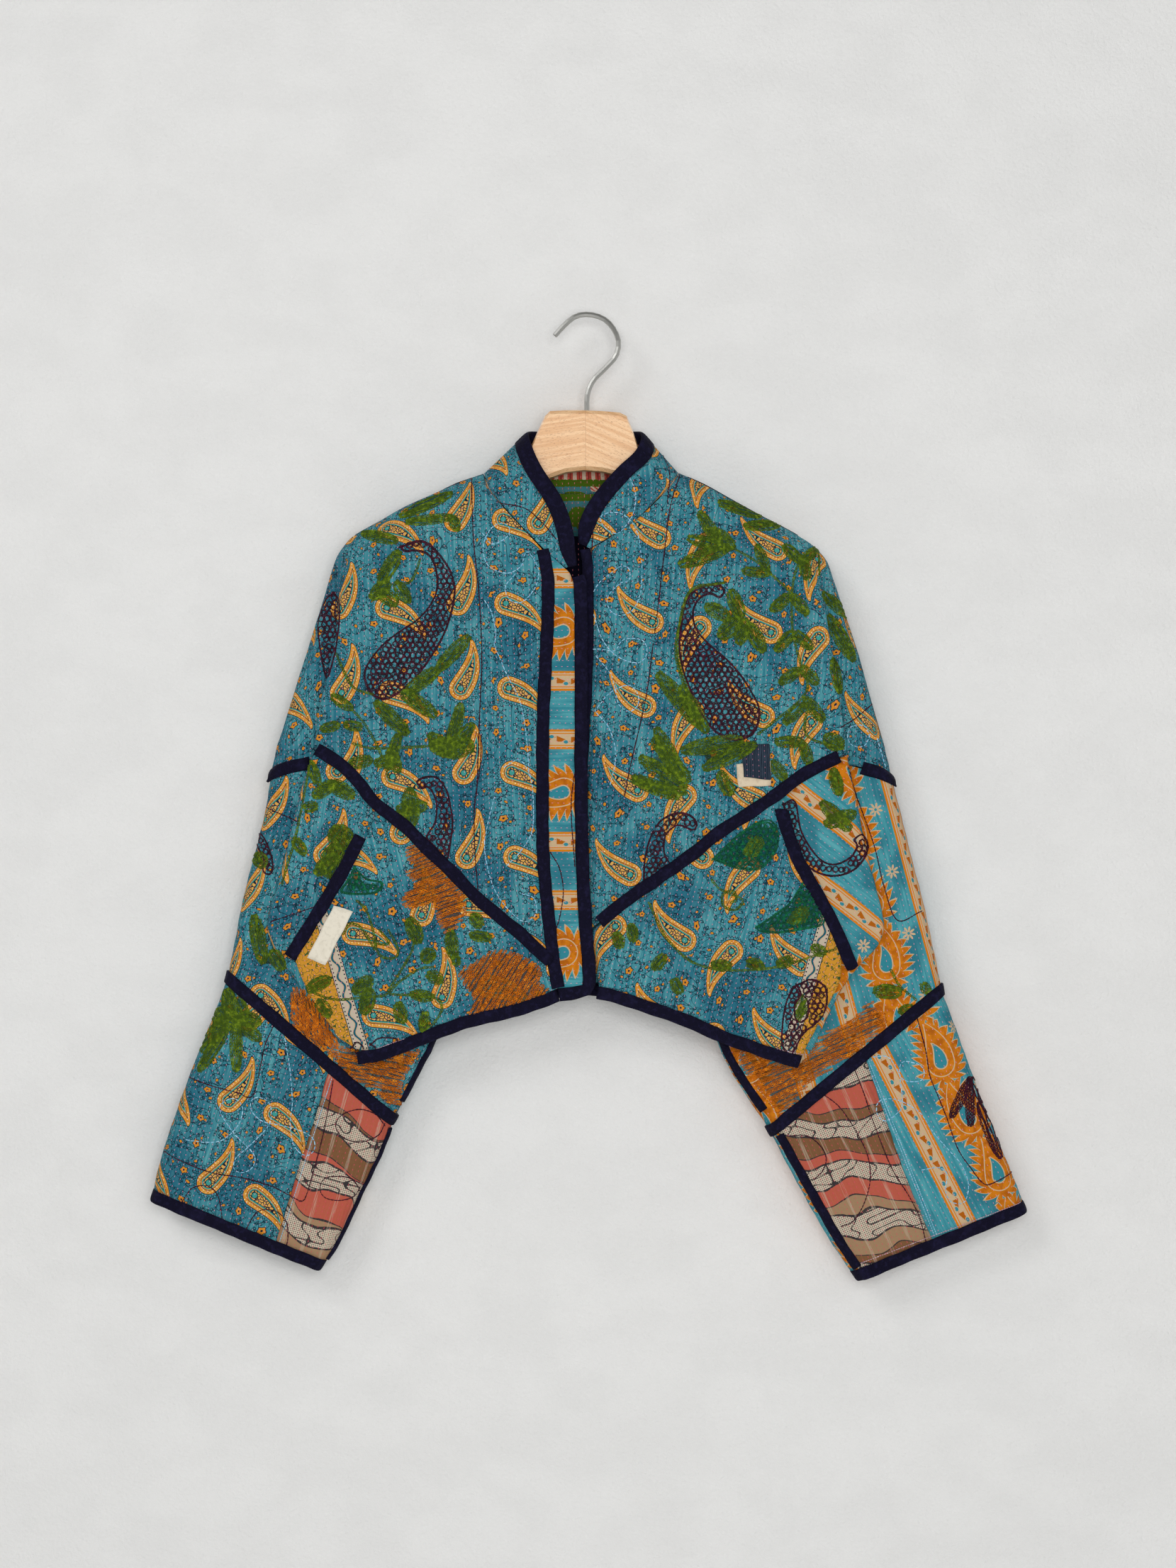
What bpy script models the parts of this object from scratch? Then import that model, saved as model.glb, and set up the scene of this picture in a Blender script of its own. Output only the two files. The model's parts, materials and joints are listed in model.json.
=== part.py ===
"""Quilted kantha jacket hanging on its wooden hanger.

Metres, +Z up, the front of the jacket faces -Y. The origin is the inside top
of the hanger's wire hook, where a nail or rod bears.
Outlines are held in drawing units of 0.6 mm, x to the right and y down, with
the origin of the object at (824, 447.5). Depths are held in millimetres,
measured away from the plane of the hanger.
"""
import math

import bmesh
import bpy
import numpy as np
from mathutils import Vector
from mathutils.bvhtree import BVHTree

MM = 0.001
UNIT_MM = 0.6
UNIT = UNIT_MM * MM
ZERO_X = 824.0
ZERO_Y = 447.5

WALL_MM = 2.0
SEAM_GAP = 0.3
BIND_WIDE = 10.6
BIND_THICK = 1.6
EDGE_THICK = 4.0
MOUTH_THICK = 3.4
UNDERLAP_WIDE = 9.0
UNDERARM_WIDE = 8.4
SHOULDER_WIDE = 8.0
PATCH_THICK = 0.5
HEM_REACH = 0.85

# Depth of each layer of cloth from the plane of the hanger, in mm.
BODY_ROLL = 15.0
BODY_DROP = 9.0
BACK_DROP = 4.0
SLEEVE_FRONT = 10.0
SLEEVE_BACK = 9.0
SLEEVE_ROLL = 10.0
POCKET_STEP = 5.2
LAP_STEP = 6.0
SEAM_DEPTH = 1.5

# Contour of the shoulder and of the sleeve cap, from the neck to the armhole.
RIDGE_LEFT = [(683, 670), (665, 676), (640, 685), (615, 698), (585, 709), (560, 722), (540, 735),
              (515, 748), (500, 758), (487, 771), (477, 786), (471, 801), (465, 816), (460, 831),
              (454, 851), (449, 871), (444, 891), (438, 911), (432, 931), (425, 951), (417, 976),
              (410, 996), (404, 1016), (398, 1036), (392, 1056), (388, 1075), (384, 1093)]
RIDGE_RIGHT = [(957, 669), (975, 676), (990, 683), (1010, 695), (1030, 706), (1050, 717),
               (1075, 731), (1100, 743), (1120, 754), (1135, 763), (1150, 775), (1160, 785),
               (1169, 801), (1178, 817), (1188, 837), (1196, 856), (1200, 876), (1202, 896),
               (1208, 921), (1216, 951), (1223, 976), (1230, 1001), (1238, 1026), (1245, 1051),
               (1252, 1081), (1257, 1101)]
SHOULDER = [(300, 758), (500, 758), (540, 735), (585, 709), (640, 685), (683, 670), (740, 652),
            (824, 646), (905, 652), (957, 669), (1010, 695), (1075, 731), (1135, 763),
            (1160, 785), (1400, 785)]

# Neck seam, from the front edge up to the shoulder.
NECK_LEFT = [(766, 778), (757, 770), (747, 757), (733, 743), (719, 730), (703, 714), (692, 697),
             (686, 683), (683, 670)]
NECK_RIGHT = [(834, 776), (850, 767), (880, 751), (900, 738), (915, 725), (932, 706), (945, 690),
              (953, 678), (957, 669)]
NECK_BACK = [(683, 670), (688, 679), (700, 687), (740, 695), (824, 699), (900, 695), (940, 687),
             (952, 679), (957, 669)]

# Seam under the front yokes, from the front edge out to the fold.
SEAM_LEFT = [(778, 1352), (755, 1332), (735, 1315), (710, 1295), (690, 1278), (670, 1262),
             (650, 1240), (630, 1220), (603, 1195), (575, 1165), (555, 1150), (540, 1140),
             (527, 1130), (517, 1115), (507, 1100), (495, 1088), (480, 1075), (465, 1065),
             (449, 1056)]
SEAM_RIGHT = [(834, 1308), (845, 1299), (860, 1287), (880, 1271), (900, 1256), (925, 1240),
              (950, 1222), (975, 1205), (1000, 1183), (1020, 1168), (1040, 1157), (1060, 1143),
              (1080, 1130), (1095, 1120), (1110, 1107), (1130, 1092), (1150, 1082), (1170, 1073),
              (1189, 1062)]

# Under each yoke's fold: the fold, the hidden valley and the armhole seam.
FOLD_LEFT = [(497, 760), (484, 838), (479, 890), (475, 915), (470, 940), (462, 965), (456, 985),
             (452, 1005), (449, 1025), (447, 1056)]
FOLD_RIGHT = [(1138, 766), (1155, 835), (1160, 860), (1168, 900), (1172, 930), (1178, 960),
              (1182, 990), (1186, 1020), (1189, 1045), (1191, 1062)]
VALLEY_LEFT = [(476, 789), (474, 825), (473, 850), (482, 885), (504, 925), (530, 975),
               (566, 1038), (600, 1096)]
VALLEY_RIGHT = [(1164, 791), (1168, 825), (1170, 850), (1161, 885), (1138, 925), (1112, 975),
                (1074, 1038), (1040, 1096)]
ARM_LEFT = [(600, 1096), (570, 1079), (540, 1071), (490, 1065), (442, 1066), (422, 1070),
            (402, 1078), (384, 1092)]
ARM_RIGHT = [(1040, 1096), (1070, 1079), (1100, 1071), (1150, 1066), (1193, 1071), (1215, 1077),
             (1240, 1087), (1257, 1100)]

# Inner edge of each front.
PLACKET_LEFT = [(766, 778), (772, 800), (774, 823), (774, 850), (771, 925), (767, 1000),
                (766, 1075), (766, 1200), (768, 1225), (772, 1275), (778, 1325), (778, 1352)]
PLACKET_LOWER = [(780, 1354), (785, 1375), (787, 1392)]
PLACKET_RIGHT = [(834, 776), (837, 800), (838, 830), (838, 940), (833, 1010), (829, 1080),
                 (830, 1218), (834, 1290), (834, 1308)]
FRONT_EDGE = [(806, 800), (812, 808), (818, 823), (821, 855), (820, 919), (821, 950), (819, 1078),
              (820, 1103), (821, 1218), (825, 1294), (831, 1365), (831, 1385)]

# Side of the body below the armhole.
SIDE_LEFT = [(446, 1060), (441, 1073), (436, 1090), (430, 1110), (425, 1130), (418, 1155),
             (412, 1175), (408, 1195), (405, 1215), (400, 1235), (393, 1255), (386, 1275),
             (380, 1295), (375, 1317), (384, 1336), (403, 1353), (414, 1366), (432, 1400),
             (457, 1440), (480, 1468), (497, 1478)]
SIDE_RIGHT = [(1191, 1066), (1195, 1090), (1200, 1110), (1207, 1140), (1212, 1165), (1216, 1190),
              (1222, 1210), (1228, 1235), (1235, 1265), (1243, 1295), (1251, 1325), (1236, 1338),
              (1212, 1347), (1200, 1366), (1180, 1400), (1160, 1440), (1150, 1460), (1143, 1478)]
TUCK_LEFT = [(612, 1105), (656, 1160), (674, 1250), (674, 1340), (667, 1390), (660, 1418)]
TUCK_RIGHT = [(1028, 1105), (982, 1160), (966, 1250), (968, 1340), (974, 1400), (978, 1426)]

# Pocket mouth and the fold of the panel below it.
POCKET_LEFT = [(532, 1146), (513, 1198), (488, 1244), (463, 1286), (438, 1325), (419, 1358)]
POCKET_RIGHT = [(1095, 1124), (1099, 1172), (1108, 1204), (1122, 1230), (1137, 1255),
                (1152, 1280), (1164, 1304), (1177, 1329), (1192, 1366)]
TURN_LEFT = [(419, 1358), (428, 1380), (440, 1400), (453, 1420), (465, 1440), (476, 1455),
             (488, 1467), (506, 1480)]
TURN_RIGHT = [(1192, 1366), (1182, 1385), (1172, 1400), (1162, 1420), (1152, 1440), (1142, 1460),
              (1134, 1476), (1128, 1486)]
HEM_LEFT = [(506, 1480), (525, 1479), (550, 1471), (575, 1461), (600, 1451), (625, 1441),
            (650, 1432), (675, 1425), (700, 1420), (725, 1414), (750, 1406), (787, 1392)]
HEM_RIGHT = [(845, 1389), (870, 1394), (900, 1404), (930, 1414), (960, 1424), (985, 1434),
             (1020, 1451), (1040, 1458), (1060, 1464), (1080, 1472), (1100, 1478), (1128, 1486)]

# Back of the body: seam, side folds and hem.
BACK_SEAM = [(449, 1056), (480, 1074), (530, 1104), (600, 1138), (680, 1164), (760, 1178),
             (824, 1181), (890, 1177), (970, 1160), (1040, 1136), (1110, 1104), (1160, 1078),
             (1189, 1062)]
BACK_FOLD_LEFT = [(448, 1060), (444, 1075), (420, 1180), (404, 1250), (394, 1300), (404, 1345),
                  (430, 1395), (468, 1448), (500, 1478)]
BACK_FOLD_RIGHT = [(1190, 1066), (1192, 1080), (1208, 1180), (1222, 1250), (1230, 1300),
                   (1214, 1345), (1184, 1395), (1160, 1440), (1136, 1480)]
BACK_HEM = [(500, 1478), (560, 1460), (640, 1428), (720, 1406), (800, 1388), (845, 1386),
            (920, 1403), (985, 1427), (1060, 1457), (1136, 1480)]

# Sleeve stations: outer end, inner end, rise of the middle, seam offset on the front.
UPPER_LEFT = [((384, 1096), (600, 1105), 27, 1), ((376, 1145), (640, 1160), 12, 1),
              ((362, 1200), (655, 1250), 4, 1), ((345, 1262), (652, 1340), 0, 1),
              ((336, 1310), (638, 1410), 0, 1), ((329, 1346), (612, 1467), 0, 1),
              ((323, 1378), (554, 1578), 0, 1)]
LOWER_LEFT = [((323, 1378), (554, 1578), 0, 0), ((298, 1445), (536, 1625), 0, 0),
              ((273, 1505), (515, 1668), 0, 0), ((253, 1560), (495, 1710), 0, 0),
              ((231, 1622), (477, 1750), 0, 0), ((218, 1676), (460, 1776), 0, 0)]
UPPER_RIGHT = [((1257, 1103), (1040, 1103), 27, 5), ((1269, 1145), (1000, 1160), 12, 5),
               ((1282, 1200), (985, 1250), 4, 5), ((1297, 1255), (988, 1340), 0, 5),
               ((1309, 1310), (1000, 1410), 0, 5), ((1319, 1352), (1012, 1480), 0, 7),
               ((1326, 1396), (1087, 1594), 0, 9)]
LOWER_RIGHT = [((1326, 1396), (1087, 1594), 0, 9), ((1352, 1462), (1107, 1634), 0, 10),
               ((1377, 1535), (1132, 1680), 0, 11), ((1401, 1595), (1157, 1725), 0, 11),
               ((1425, 1650), (1180, 1763), 0, 11), ((1441, 1693), (1200, 1791), 0, 11)]
GORE_LEFT = (0.38, 0.284)
GORE_RIGHT = (0.547, 0.467)

# Hanger: half outline from the middle out, top and bottom of each station.
HANGER_RIGHT = [(824, 580, 664), (850, 581, 666), (874, 583, 672), (884, 588, 676),
                (893, 610, 681), (902, 638, 686), (925, 661, 699), (957, 676, 722),
                (1000, 697, 752), (1050, 725, 780), (1100, 752, 800), (1130, 771, 812),
                (1143, 783, 808)]
HANGER_LEFT = [(824, 580, 664), (798, 580, 667), (776, 581, 675), (769, 588, 679),
               (758, 611, 685), (748, 634, 692), (725, 658, 704), (683, 678, 726),
               (640, 695, 748), (585, 719, 772), (540, 744, 790), (515, 757, 797),
               (505, 768, 794)]
HANGER_HALF = 10.0
HOOK = [(783, 473), (792, 463), (800, 455), (808, 448.5), (818, 444.3), (830, 443.6), (843, 446),
        (855, 452), (865, 463), (872, 478), (872, 493), (867, 505), (858, 515), (848, 525),
        (838, 535), (831, 548), (828, 562), (828, 580), (828, 612)]
HOOK_RADIUS = 2.3

COLOURS = {
    "teal_print": (0.09, 0.30, 0.36, 1.0),
    "flame_print": (0.13, 0.34, 0.38, 1.0),
    "salmon_print": (0.55, 0.24, 0.18, 1.0),
    "navy_binding": (0.012, 0.010, 0.028, 1.0),
    "label_cream": (0.78, 0.74, 0.64, 1.0),
    "beech_wood": (0.72, 0.44, 0.22, 1.0),
    "steel_wire": (0.62, 0.62, 0.63, 1.0),
}


def clear_scene():
    """Empty the file."""
    for obj in list(bpy.data.objects):
        bpy.data.objects.remove(obj, do_unlink=True)


def make_materials():
    """Make one Principled material for each real material."""
    made = {}
    for name, colour in COLOURS.items():
        mat = bpy.data.materials.new(name)
        mat.use_nodes = True
        bsdf = mat.node_tree.nodes["Principled BSDF"]
        bsdf.inputs["Base Color"].default_value = colour
        bsdf.inputs["Roughness"].default_value = 0.9
        mat.diffuse_color = colour
        made[name] = mat
    steel = made["steel_wire"].node_tree.nodes["Principled BSDF"]
    steel.inputs["Metallic"].default_value = 1.0
    steel.inputs["Roughness"].default_value = 0.25
    wood = made["beech_wood"].node_tree.nodes["Principled BSDF"]
    wood.inputs["Roughness"].default_value = 0.5
    return made


def smooth_path(points, count=160):
    """Run a rounded line through the points and sample it at even spacing."""
    pts = np.asarray(points, dtype=float)
    if len(pts) > 2:
        first = 2 * pts[0] - pts[1]
        last = 2 * pts[-1] - pts[-2]
        ext = np.vstack([first, pts, last])
        parts = []
        steps = np.linspace(0.0, 1.0, 8, endpoint=False)[:, None]
        for k in range(1, len(ext) - 2):
            a, b, c, d = ext[k - 1], ext[k], ext[k + 1], ext[k + 2]
            curve = 0.5 * (2 * b + (c - a) * steps + (2 * a - 5 * b + 4 * c - d) * steps ** 2
                           + (3 * b - a - 3 * c + d) * steps ** 3)
            parts.append(curve)
        parts.append(pts[-1:])
        pts = np.vstack(parts)
    length = np.concatenate([[0.0], np.cumsum(np.linalg.norm(np.diff(pts, axis=0), axis=1))])
    at = np.linspace(0.0, length[-1], count)
    cols = [np.interp(at, length, pts[:, k]) for k in range(pts.shape[1])]
    return np.stack(cols, axis=1)


def along(points):
    """Give a function of 0 to 1 that follows the points."""
    path = smooth_path(points)
    base = np.linspace(0.0, 1.0, len(path))

    def at(s):
        s = np.clip(s, 0.0, 1.0)
        return np.stack([np.interp(s, base, path[:, k]) for k in range(path.shape[1])], axis=-1)

    return at


def part_of(points, start, end):
    """Give the run of a path between the spots nearest to two points."""
    path = smooth_path(points, 240)
    a = int(np.argmin(np.linalg.norm(path - np.asarray(start, float), axis=1)))
    b = int(np.argmin(np.linalg.norm(path - np.asarray(end, float), axis=1)))
    if a <= b:
        return path[a:b + 1]
    return path[b:a + 1][::-1]


def smooth_step(s):
    """Ease from 0 to 1."""
    s = np.clip(s, 0.0, 1.0)
    return s * s * (3.0 - 2.0 * s)


def quarter(s):
    """Follow a quarter round from 0 to 1."""
    s = np.clip(s, 0.0, 1.0)
    return np.sqrt(np.maximum(0.0, 1.0 - (1.0 - s) ** 2))


def coons(top, bottom, left, right, us, vs):
    """Fill four edges with a sheet of points in the drawing plane."""
    t = along(top)
    b = along(bottom)
    lf = along(left)
    rt = along(right)
    u = us[..., None]
    v = vs[..., None]
    c00 = t(np.array(0.0))
    c10 = t(np.array(1.0))
    c01 = b(np.array(0.0))
    c11 = b(np.array(1.0))
    ruled_v = (1 - v) * t(us) + v * b(us)
    ruled_u = (1 - u) * lf(vs) + u * rt(vs)
    corners = (1 - u) * (1 - v) * c00 + u * (1 - v) * c10 + (1 - u) * v * c01 + u * v * c11
    return ruled_v + ruled_u - corners


SHOULDER_LINE = np.asarray(SHOULDER, float)


def ridge_distance(p):
    """Distance in mm from the contour of the shoulders and sleeve caps."""
    flat = p.reshape(-1, 2)
    gap = np.full(len(flat), 1e9)
    for seg in (smooth_path(RIDGE_LEFT, 90), smooth_path(RIDGE_RIGHT, 90)):
        a = seg[:-1]
        b = seg[1:]
        ab = b - a
        den = np.sum(ab * ab, axis=1)
        rel = flat[:, None, :] - a[None]
        t = np.clip(np.sum(rel * ab[None], axis=2) / den[None], 0.0, 1.0)
        near = a[None] + t[..., None] * ab[None]
        dist = np.sqrt(np.sum((flat[:, None, :] - near) ** 2, axis=2))
        gap = np.minimum(gap, dist.min(axis=1))
    return gap.reshape(p.shape[:-1]) * UNIT_MM


def drape(p):
    """Soft upright waves of the hanging cloth in mm, none at the shoulders."""
    x = p[..., 0]
    y = p[..., 1]
    swell = 1.9 * smooth_step((y - 820.0) / 480.0)
    wide = np.sin(2 * math.pi * (x - 824.0) / 122.0 + 0.9 * np.sin(y / 150.0))
    fine = np.sin(2 * math.pi * x / 69.0 + 1.3 + y / 210.0)
    return swell * (0.62 * wide + 0.38 * fine)


def body_depth(p, swell):
    """Depth of the body in mm: a round roll at the shoulder and a swell below it."""
    line = np.interp(p[..., 0], SHOULDER_LINE[:, 0], SHOULDER_LINE[:, 1])
    drop = UNIT_MM * (p[..., 1] - line)
    return BODY_ROLL * quarter(ridge_distance(p) / BODY_ROLL) + swell * smooth_step(
        (drop - 10.0) / 45.0)


def front_depth(p):
    """Depth of the front of the body in mm."""
    return body_depth(p, BODY_DROP)


def back_depth(p):
    """Depth of the back of the body in mm."""
    return body_depth(p, BACK_DROP)


def cap_front(p):
    """Depth of the sleeve cap in front, in mm."""
    return SLEEVE_FRONT * quarter(ridge_distance(p) / SLEEVE_ROLL)


def cap_back(p):
    """Depth of the sleeve cap behind, in mm."""
    return SLEEVE_BACK * quarter(ridge_distance(p) / SLEEVE_ROLL)


def lap_step(p):
    """How far the under-lapping front lies behind the other, in mm."""
    return LAP_STEP * (1.0 - smooth_step((p[..., 0] - 838.0) / 60.0))


def place(p, depth, face):
    """Turn drawing points and depths into object points; face is -1 front, 1 back."""
    wave = drape(p) * np.clip(depth / 20.0, 0.0, 1.0)
    x = (p[..., 0] - ZERO_X) * UNIT
    z = -(p[..., 1] - ZERO_Y) * UNIT
    y = face * (depth - face * wave) * MM
    return np.stack([x, y, z], axis=-1)


def rows_near_ridge(lengths_mm, more):
    """Row positions: close rows over the shoulder roll, then even ones."""
    near = np.array([0.0, 1.2, 4.6, 9.6, 16.0])
    scale = np.clip(lengths_mm / 60.0, 0.1, 1.0)
    first = near[:, None] * scale[None] / lengths_mm[None]
    rest = np.linspace(0.0, 1.0, more + 1)[1:, None]
    return np.vstack([first, first[-1:] + rest * (1.0 - first[-1:])])


def edge_columns(width_px, insets_mm, flip):
    """Column positions at set distances from one end of a row."""
    insets = np.asarray(insets_mm, float)
    u = insets[None, :] / UNIT_MM / width_px[:, None]
    cap = 0.45 * insets[None, :] / insets.max()
    u = np.minimum(u, cap)
    return 1.0 - u if flip else u


def yoke_half(ridge, neck, seam, fold, valley, arm, inner, face, counts):
    """Points of half a yoke, from its inner edge round the fold to the sleeve cap."""
    n_neck, n_front, n_mid, n_cap, more = counts
    top_all = list(map(tuple, ridge))
    f0 = fold[0]
    v0 = valley[0]
    end = ridge[-2]
    front_top = list(map(tuple, neck)) + list(map(tuple, part_of(top_all, ridge[0], f0)[1:]))
    mid_top = part_of(top_all, f0, v0)
    cap_top = part_of(top_all, v0, end)
    cap_side = part_of(top_all, end, ridge[-1])
    mid_bottom = np.linspace(np.asarray(seam[-1], float), np.asarray(valley[-1], float), 8)

    rows = 5 + more
    v_guess = np.linspace(0.0, 1.0, rows)[:, None]
    # Front part: from the inner edge to the fold.
    fold_at = along(fold)
    inner_at = along(inner)
    wide = np.linalg.norm(fold_at(v_guess[:, 0]) - inner_at(v_guess[:, 0]), axis=1)
    turn = edge_columns(wide, (3.25, 0.95, 0.0), True)
    neck_long = np.sum(np.linalg.norm(np.diff(smooth_path(neck), axis=0), axis=1))
    top_long = np.sum(np.linalg.norm(np.diff(smooth_path(front_top), axis=0), axis=1))
    corner = neck_long / top_long
    over = corner + (turn[:, :1] - corner) * np.linspace(0.0, 1.0, n_front)[None, 1:]
    near = corner * (1.0 - np.array([17.0, 9.0, 4.4, 1.2, 0.0]) / UNIT_MM / neck_long)
    lead = np.concatenate([np.linspace(0.0, near[0], n_neck)[:-1], near])
    lead = np.broadcast_to(lead[None], (rows, len(lead)))
    u_front = np.concatenate([lead, over, turn[:, 1:]], axis=1)
    top_at = along(front_top)
    seam_at = along(seam)
    mean_u = u_front.mean(axis=0)
    length = UNIT_MM * np.linalg.norm(top_at(mean_u) - seam_at(mean_u), axis=1)
    v_front = rows_near_ridge(length, more)
    p_front = coons(front_top, seam, inner, fold, u_front, v_front)

    # Middle layer: from the fold back to the valley.
    valley_at = along(valley)
    gap = np.linalg.norm(valley_at(v_guess[:, 0]) - fold_at(v_guess[:, 0]), axis=1) + 1e-6
    a = edge_columns(gap, (0.95, 3.25), False)
    a = np.minimum(a, np.array([[0.08, 0.22]]))
    b = 1.0 - a[:, ::-1]
    middle = a[:, 1:] + (b[:, :1] - a[:, 1:]) * np.linspace(0.0, 1.0, n_mid + 2)[None, 1:-1]
    u_mid = np.concatenate([a, middle, b, np.ones((rows, 1))], axis=1)
    w_mid = np.array([0.573, 0.5] + [0.5] * n_mid + [0.5, 0.427, 0.25])[None, :]
    sign = 1.0 if ridge[0][0] < ZERO_X else -1.0
    m_top = along(mid_top)
    m_bot = along(mid_bottom)
    mean_u = u_mid.mean(axis=0)
    length = UNIT_MM * np.linalg.norm(m_top(mean_u) - m_bot(mean_u), axis=1)
    v_mid = rows_near_ridge(length, more)
    p_mid = coons(mid_top, mid_bottom, fold, valley, u_mid, v_mid)
    # Near the shoulder the cloth slopes from front to cap; further down it folds under.
    under = sign * (valley_at(v_mid[:, -1])[:, 0] - fold_at(v_mid[:, 0])[:, 0])
    folded = smooth_step((under - 4.0) / 36.0)[:, None]
    slope = 1.0 - smooth_step(0.25 + 0.6 * u_mid)
    w_mid = slope * (1.0 - folded) + w_mid * folded
    ease = np.ones_like(u_front)
    ease[:, -2] = 0.97 - 0.043 * folded[:, 0]
    ease[:, -1] = 0.88 - 0.13 * folded[:, 0]

    # Sleeve cap: from the valley out to the contour.
    side_at = along(cap_side)
    wide = np.linalg.norm(side_at(v_guess[:, 0]) - valley_at(v_guess[:, 0]), axis=1)
    start = edge_columns(wide, (0.95, 3.25), False)
    start = np.minimum(start, np.array([[0.04, 0.12]]))
    finish = edge_columns(wide, (15.0, 6.0, 0.0), True)
    middle = start[:, 1:] + (finish[:, :1] - start[:, 1:]) * np.linspace(
        0.0, 1.0, n_cap + 2)[None, 1:-1]
    u_cap = np.concatenate([start, middle, finish], axis=1)
    w_cap = np.zeros_like(u_cap)
    w_cap[:, 0] = 0.02 + 0.053 * folded[:, 0]
    c_top = along(cap_top)
    c_bot = along(arm)
    mean_u = u_cap.mean(axis=0)
    length = np.maximum(12.0, UNIT_MM * np.linalg.norm(c_top(mean_u) - c_bot(mean_u), axis=1))
    v_cap = rows_near_ridge(length, more)
    p_cap = coons(cap_top, arm, valley, cap_side, u_cap, v_cap)

    p = np.concatenate([p_front, p_mid, p_cap], axis=1)
    weight = np.concatenate([ease, w_mid, w_cap], axis=1)
    far = ridge_distance(p)
    body = front_depth(p) if face < 0 else back_depth(p)
    cap = cap_front(p) if face < 0 else cap_back(p)
    depth = weight * body + (1.0 - weight) * cap
    return p, np.where(far < 0.2, 0.45, np.maximum(depth, 0.45)), weight


def normals_of(grid):
    """Unit normals of a sheet of points."""
    return unit(np.cross(np.gradient(grid, axis=1), np.gradient(grid, axis=0)))


def add_mesh(name, verts, faces, mat):
    """Add a mesh object of triangles with its faces turned outward."""
    mesh = bpy.data.meshes.new(name)
    mesh.from_pydata([tuple(map(float, v)) for v in verts], [], faces)
    bm = bmesh.new()
    bm.from_mesh(mesh)
    bmesh.ops.triangulate(bm, faces=bm.faces)
    bmesh.ops.recalc_face_normals(bm, faces=bm.faces)
    if bm.calc_volume(signed=True) < 0:
        bmesh.ops.reverse_faces(bm, faces=bm.faces)
    bm.to_mesh(mesh)
    bm.free()
    mesh.materials.append(mat)
    obj = bpy.data.objects.new(name, mesh)
    bpy.context.scene.collection.objects.link(obj)
    return obj


def ridge_normals(grid, n):
    """On the shoulder and cap contour, point the wall straight out from the contour."""
    flat = grid.reshape(-1, 3)
    fixed = n.reshape(-1, 3).copy()
    on_ridge = np.abs(flat[:, 1]) < 0.0006
    x = flat[on_ridge, 0] / UNIT + ZERO_X
    y = -flat[on_ridge, 2] / UNIT + ZERO_Y
    found = np.zeros((len(x), 3))
    for sign, table in ((-1.0, RIDGE_LEFT), (1.0, RIDGE_RIGHT)):
        path = smooth_path(table, 220)
        step = unit(np.gradient(path, axis=0))
        near = np.argmin((path[None, :, 0] - x[:, None]) ** 2
                         + (path[None, :, 1] - y[:, None]) ** 2, axis=1)
        t = step[near]
        out = np.stack([t[:, 1] * sign, np.zeros(len(t)), t[:, 0] * sign], axis=1)
        pick = (x - ZERO_X) * sign > 0
        found[pick] = out[pick]
    turned = np.sign(np.sum(found * fixed[on_ridge], axis=1)).sum()
    fixed[on_ridge] = found * (1.0 if turned >= 0 else -1.0)
    return fixed.reshape(n.shape)


def unit(v):
    """Scale vectors to length one."""
    return v / np.maximum(np.linalg.norm(v, axis=-1, keepdims=True), 1e-12)


def yoke_normals(grid, p, weight, depth_of, face):
    """Normals of a yoke: from the depth rules on front and cap, from its points between."""
    n = normals_of(grid)
    cap_of = cap_front if face < 0 else cap_back
    for rule, flat in ((depth_of, weight > 0.999), (cap_of, weight < 0.001)):
        true = surface_frame(p.reshape(-1, 2), rule, face)[1].reshape(n.shape)
        turned = np.sign(np.sum(n * true, axis=-1))[flat].sum()
        n[flat] = true[flat] * (1.0 if turned >= 0 else -1.0)
    return ridge_normals(grid, n)


def wall(name, grid, mat, half=WALL_MM * MM / 2, normals=None):
    """Give a sheet of points a cloth wall and closed edges."""
    rows, cols = grid.shape[:2]
    n = normals_of(grid) if normals is None else normals
    verts = np.concatenate([(grid + n * half).reshape(-1, 3), (grid - n * half).reshape(-1, 3)])
    size = rows * cols
    faces = []
    for r in range(rows - 1):
        for c in range(cols - 1):
            a, b = r * cols + c, r * cols + c + 1
            e, f = b + cols, a + cols
            faces.append((a, b, e, f))
            faces.append((size + f, size + e, size + b, size + a))
    last = (rows - 1) * cols
    for c in range(cols - 1):
        faces.append((c, size + c, size + c + 1, c + 1))
        faces.append((last + c + 1, size + last + c + 1, size + last + c, last + c))
    for r in range(rows - 1):
        a, b = r * cols, (r + 1) * cols
        faces.append((b, size + b, size + a, a))
        a, b = a + cols - 1, b + cols - 1
        faces.append((a, size + a, size + b, b))
    return add_mesh(name, verts, faces, mat)


def sweep(name, mid, side, up, section, mat, closed=False):
    """Carry a closed section along a path; side and up are unit vectors."""
    verts = []
    for k in range(len(mid)):
        for a, b in section:
            verts.append(mid[k] + side[k] * a + up[k] * b)
    return ring_mesh(name, verts, len(section), len(mid), mat, closed)


def bar_section(wide, thick):
    """Section of a rounded edge binding in metres."""
    w = wide * MM / 2
    t = thick * MM / 2
    return [(-w, -t * 0.8), (-w, t * 0.8), (w * 0.7, t), (w, t * 0.3), (w, -t * 0.3),
            (w * 0.7, -t)]


def tangents(path, closed=False):
    """Unit directions along a path."""
    if closed:
        return unit(np.roll(path, -1, axis=0) - np.roll(path, 1, axis=0))
    return unit(np.gradient(path, axis=0))


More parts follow.
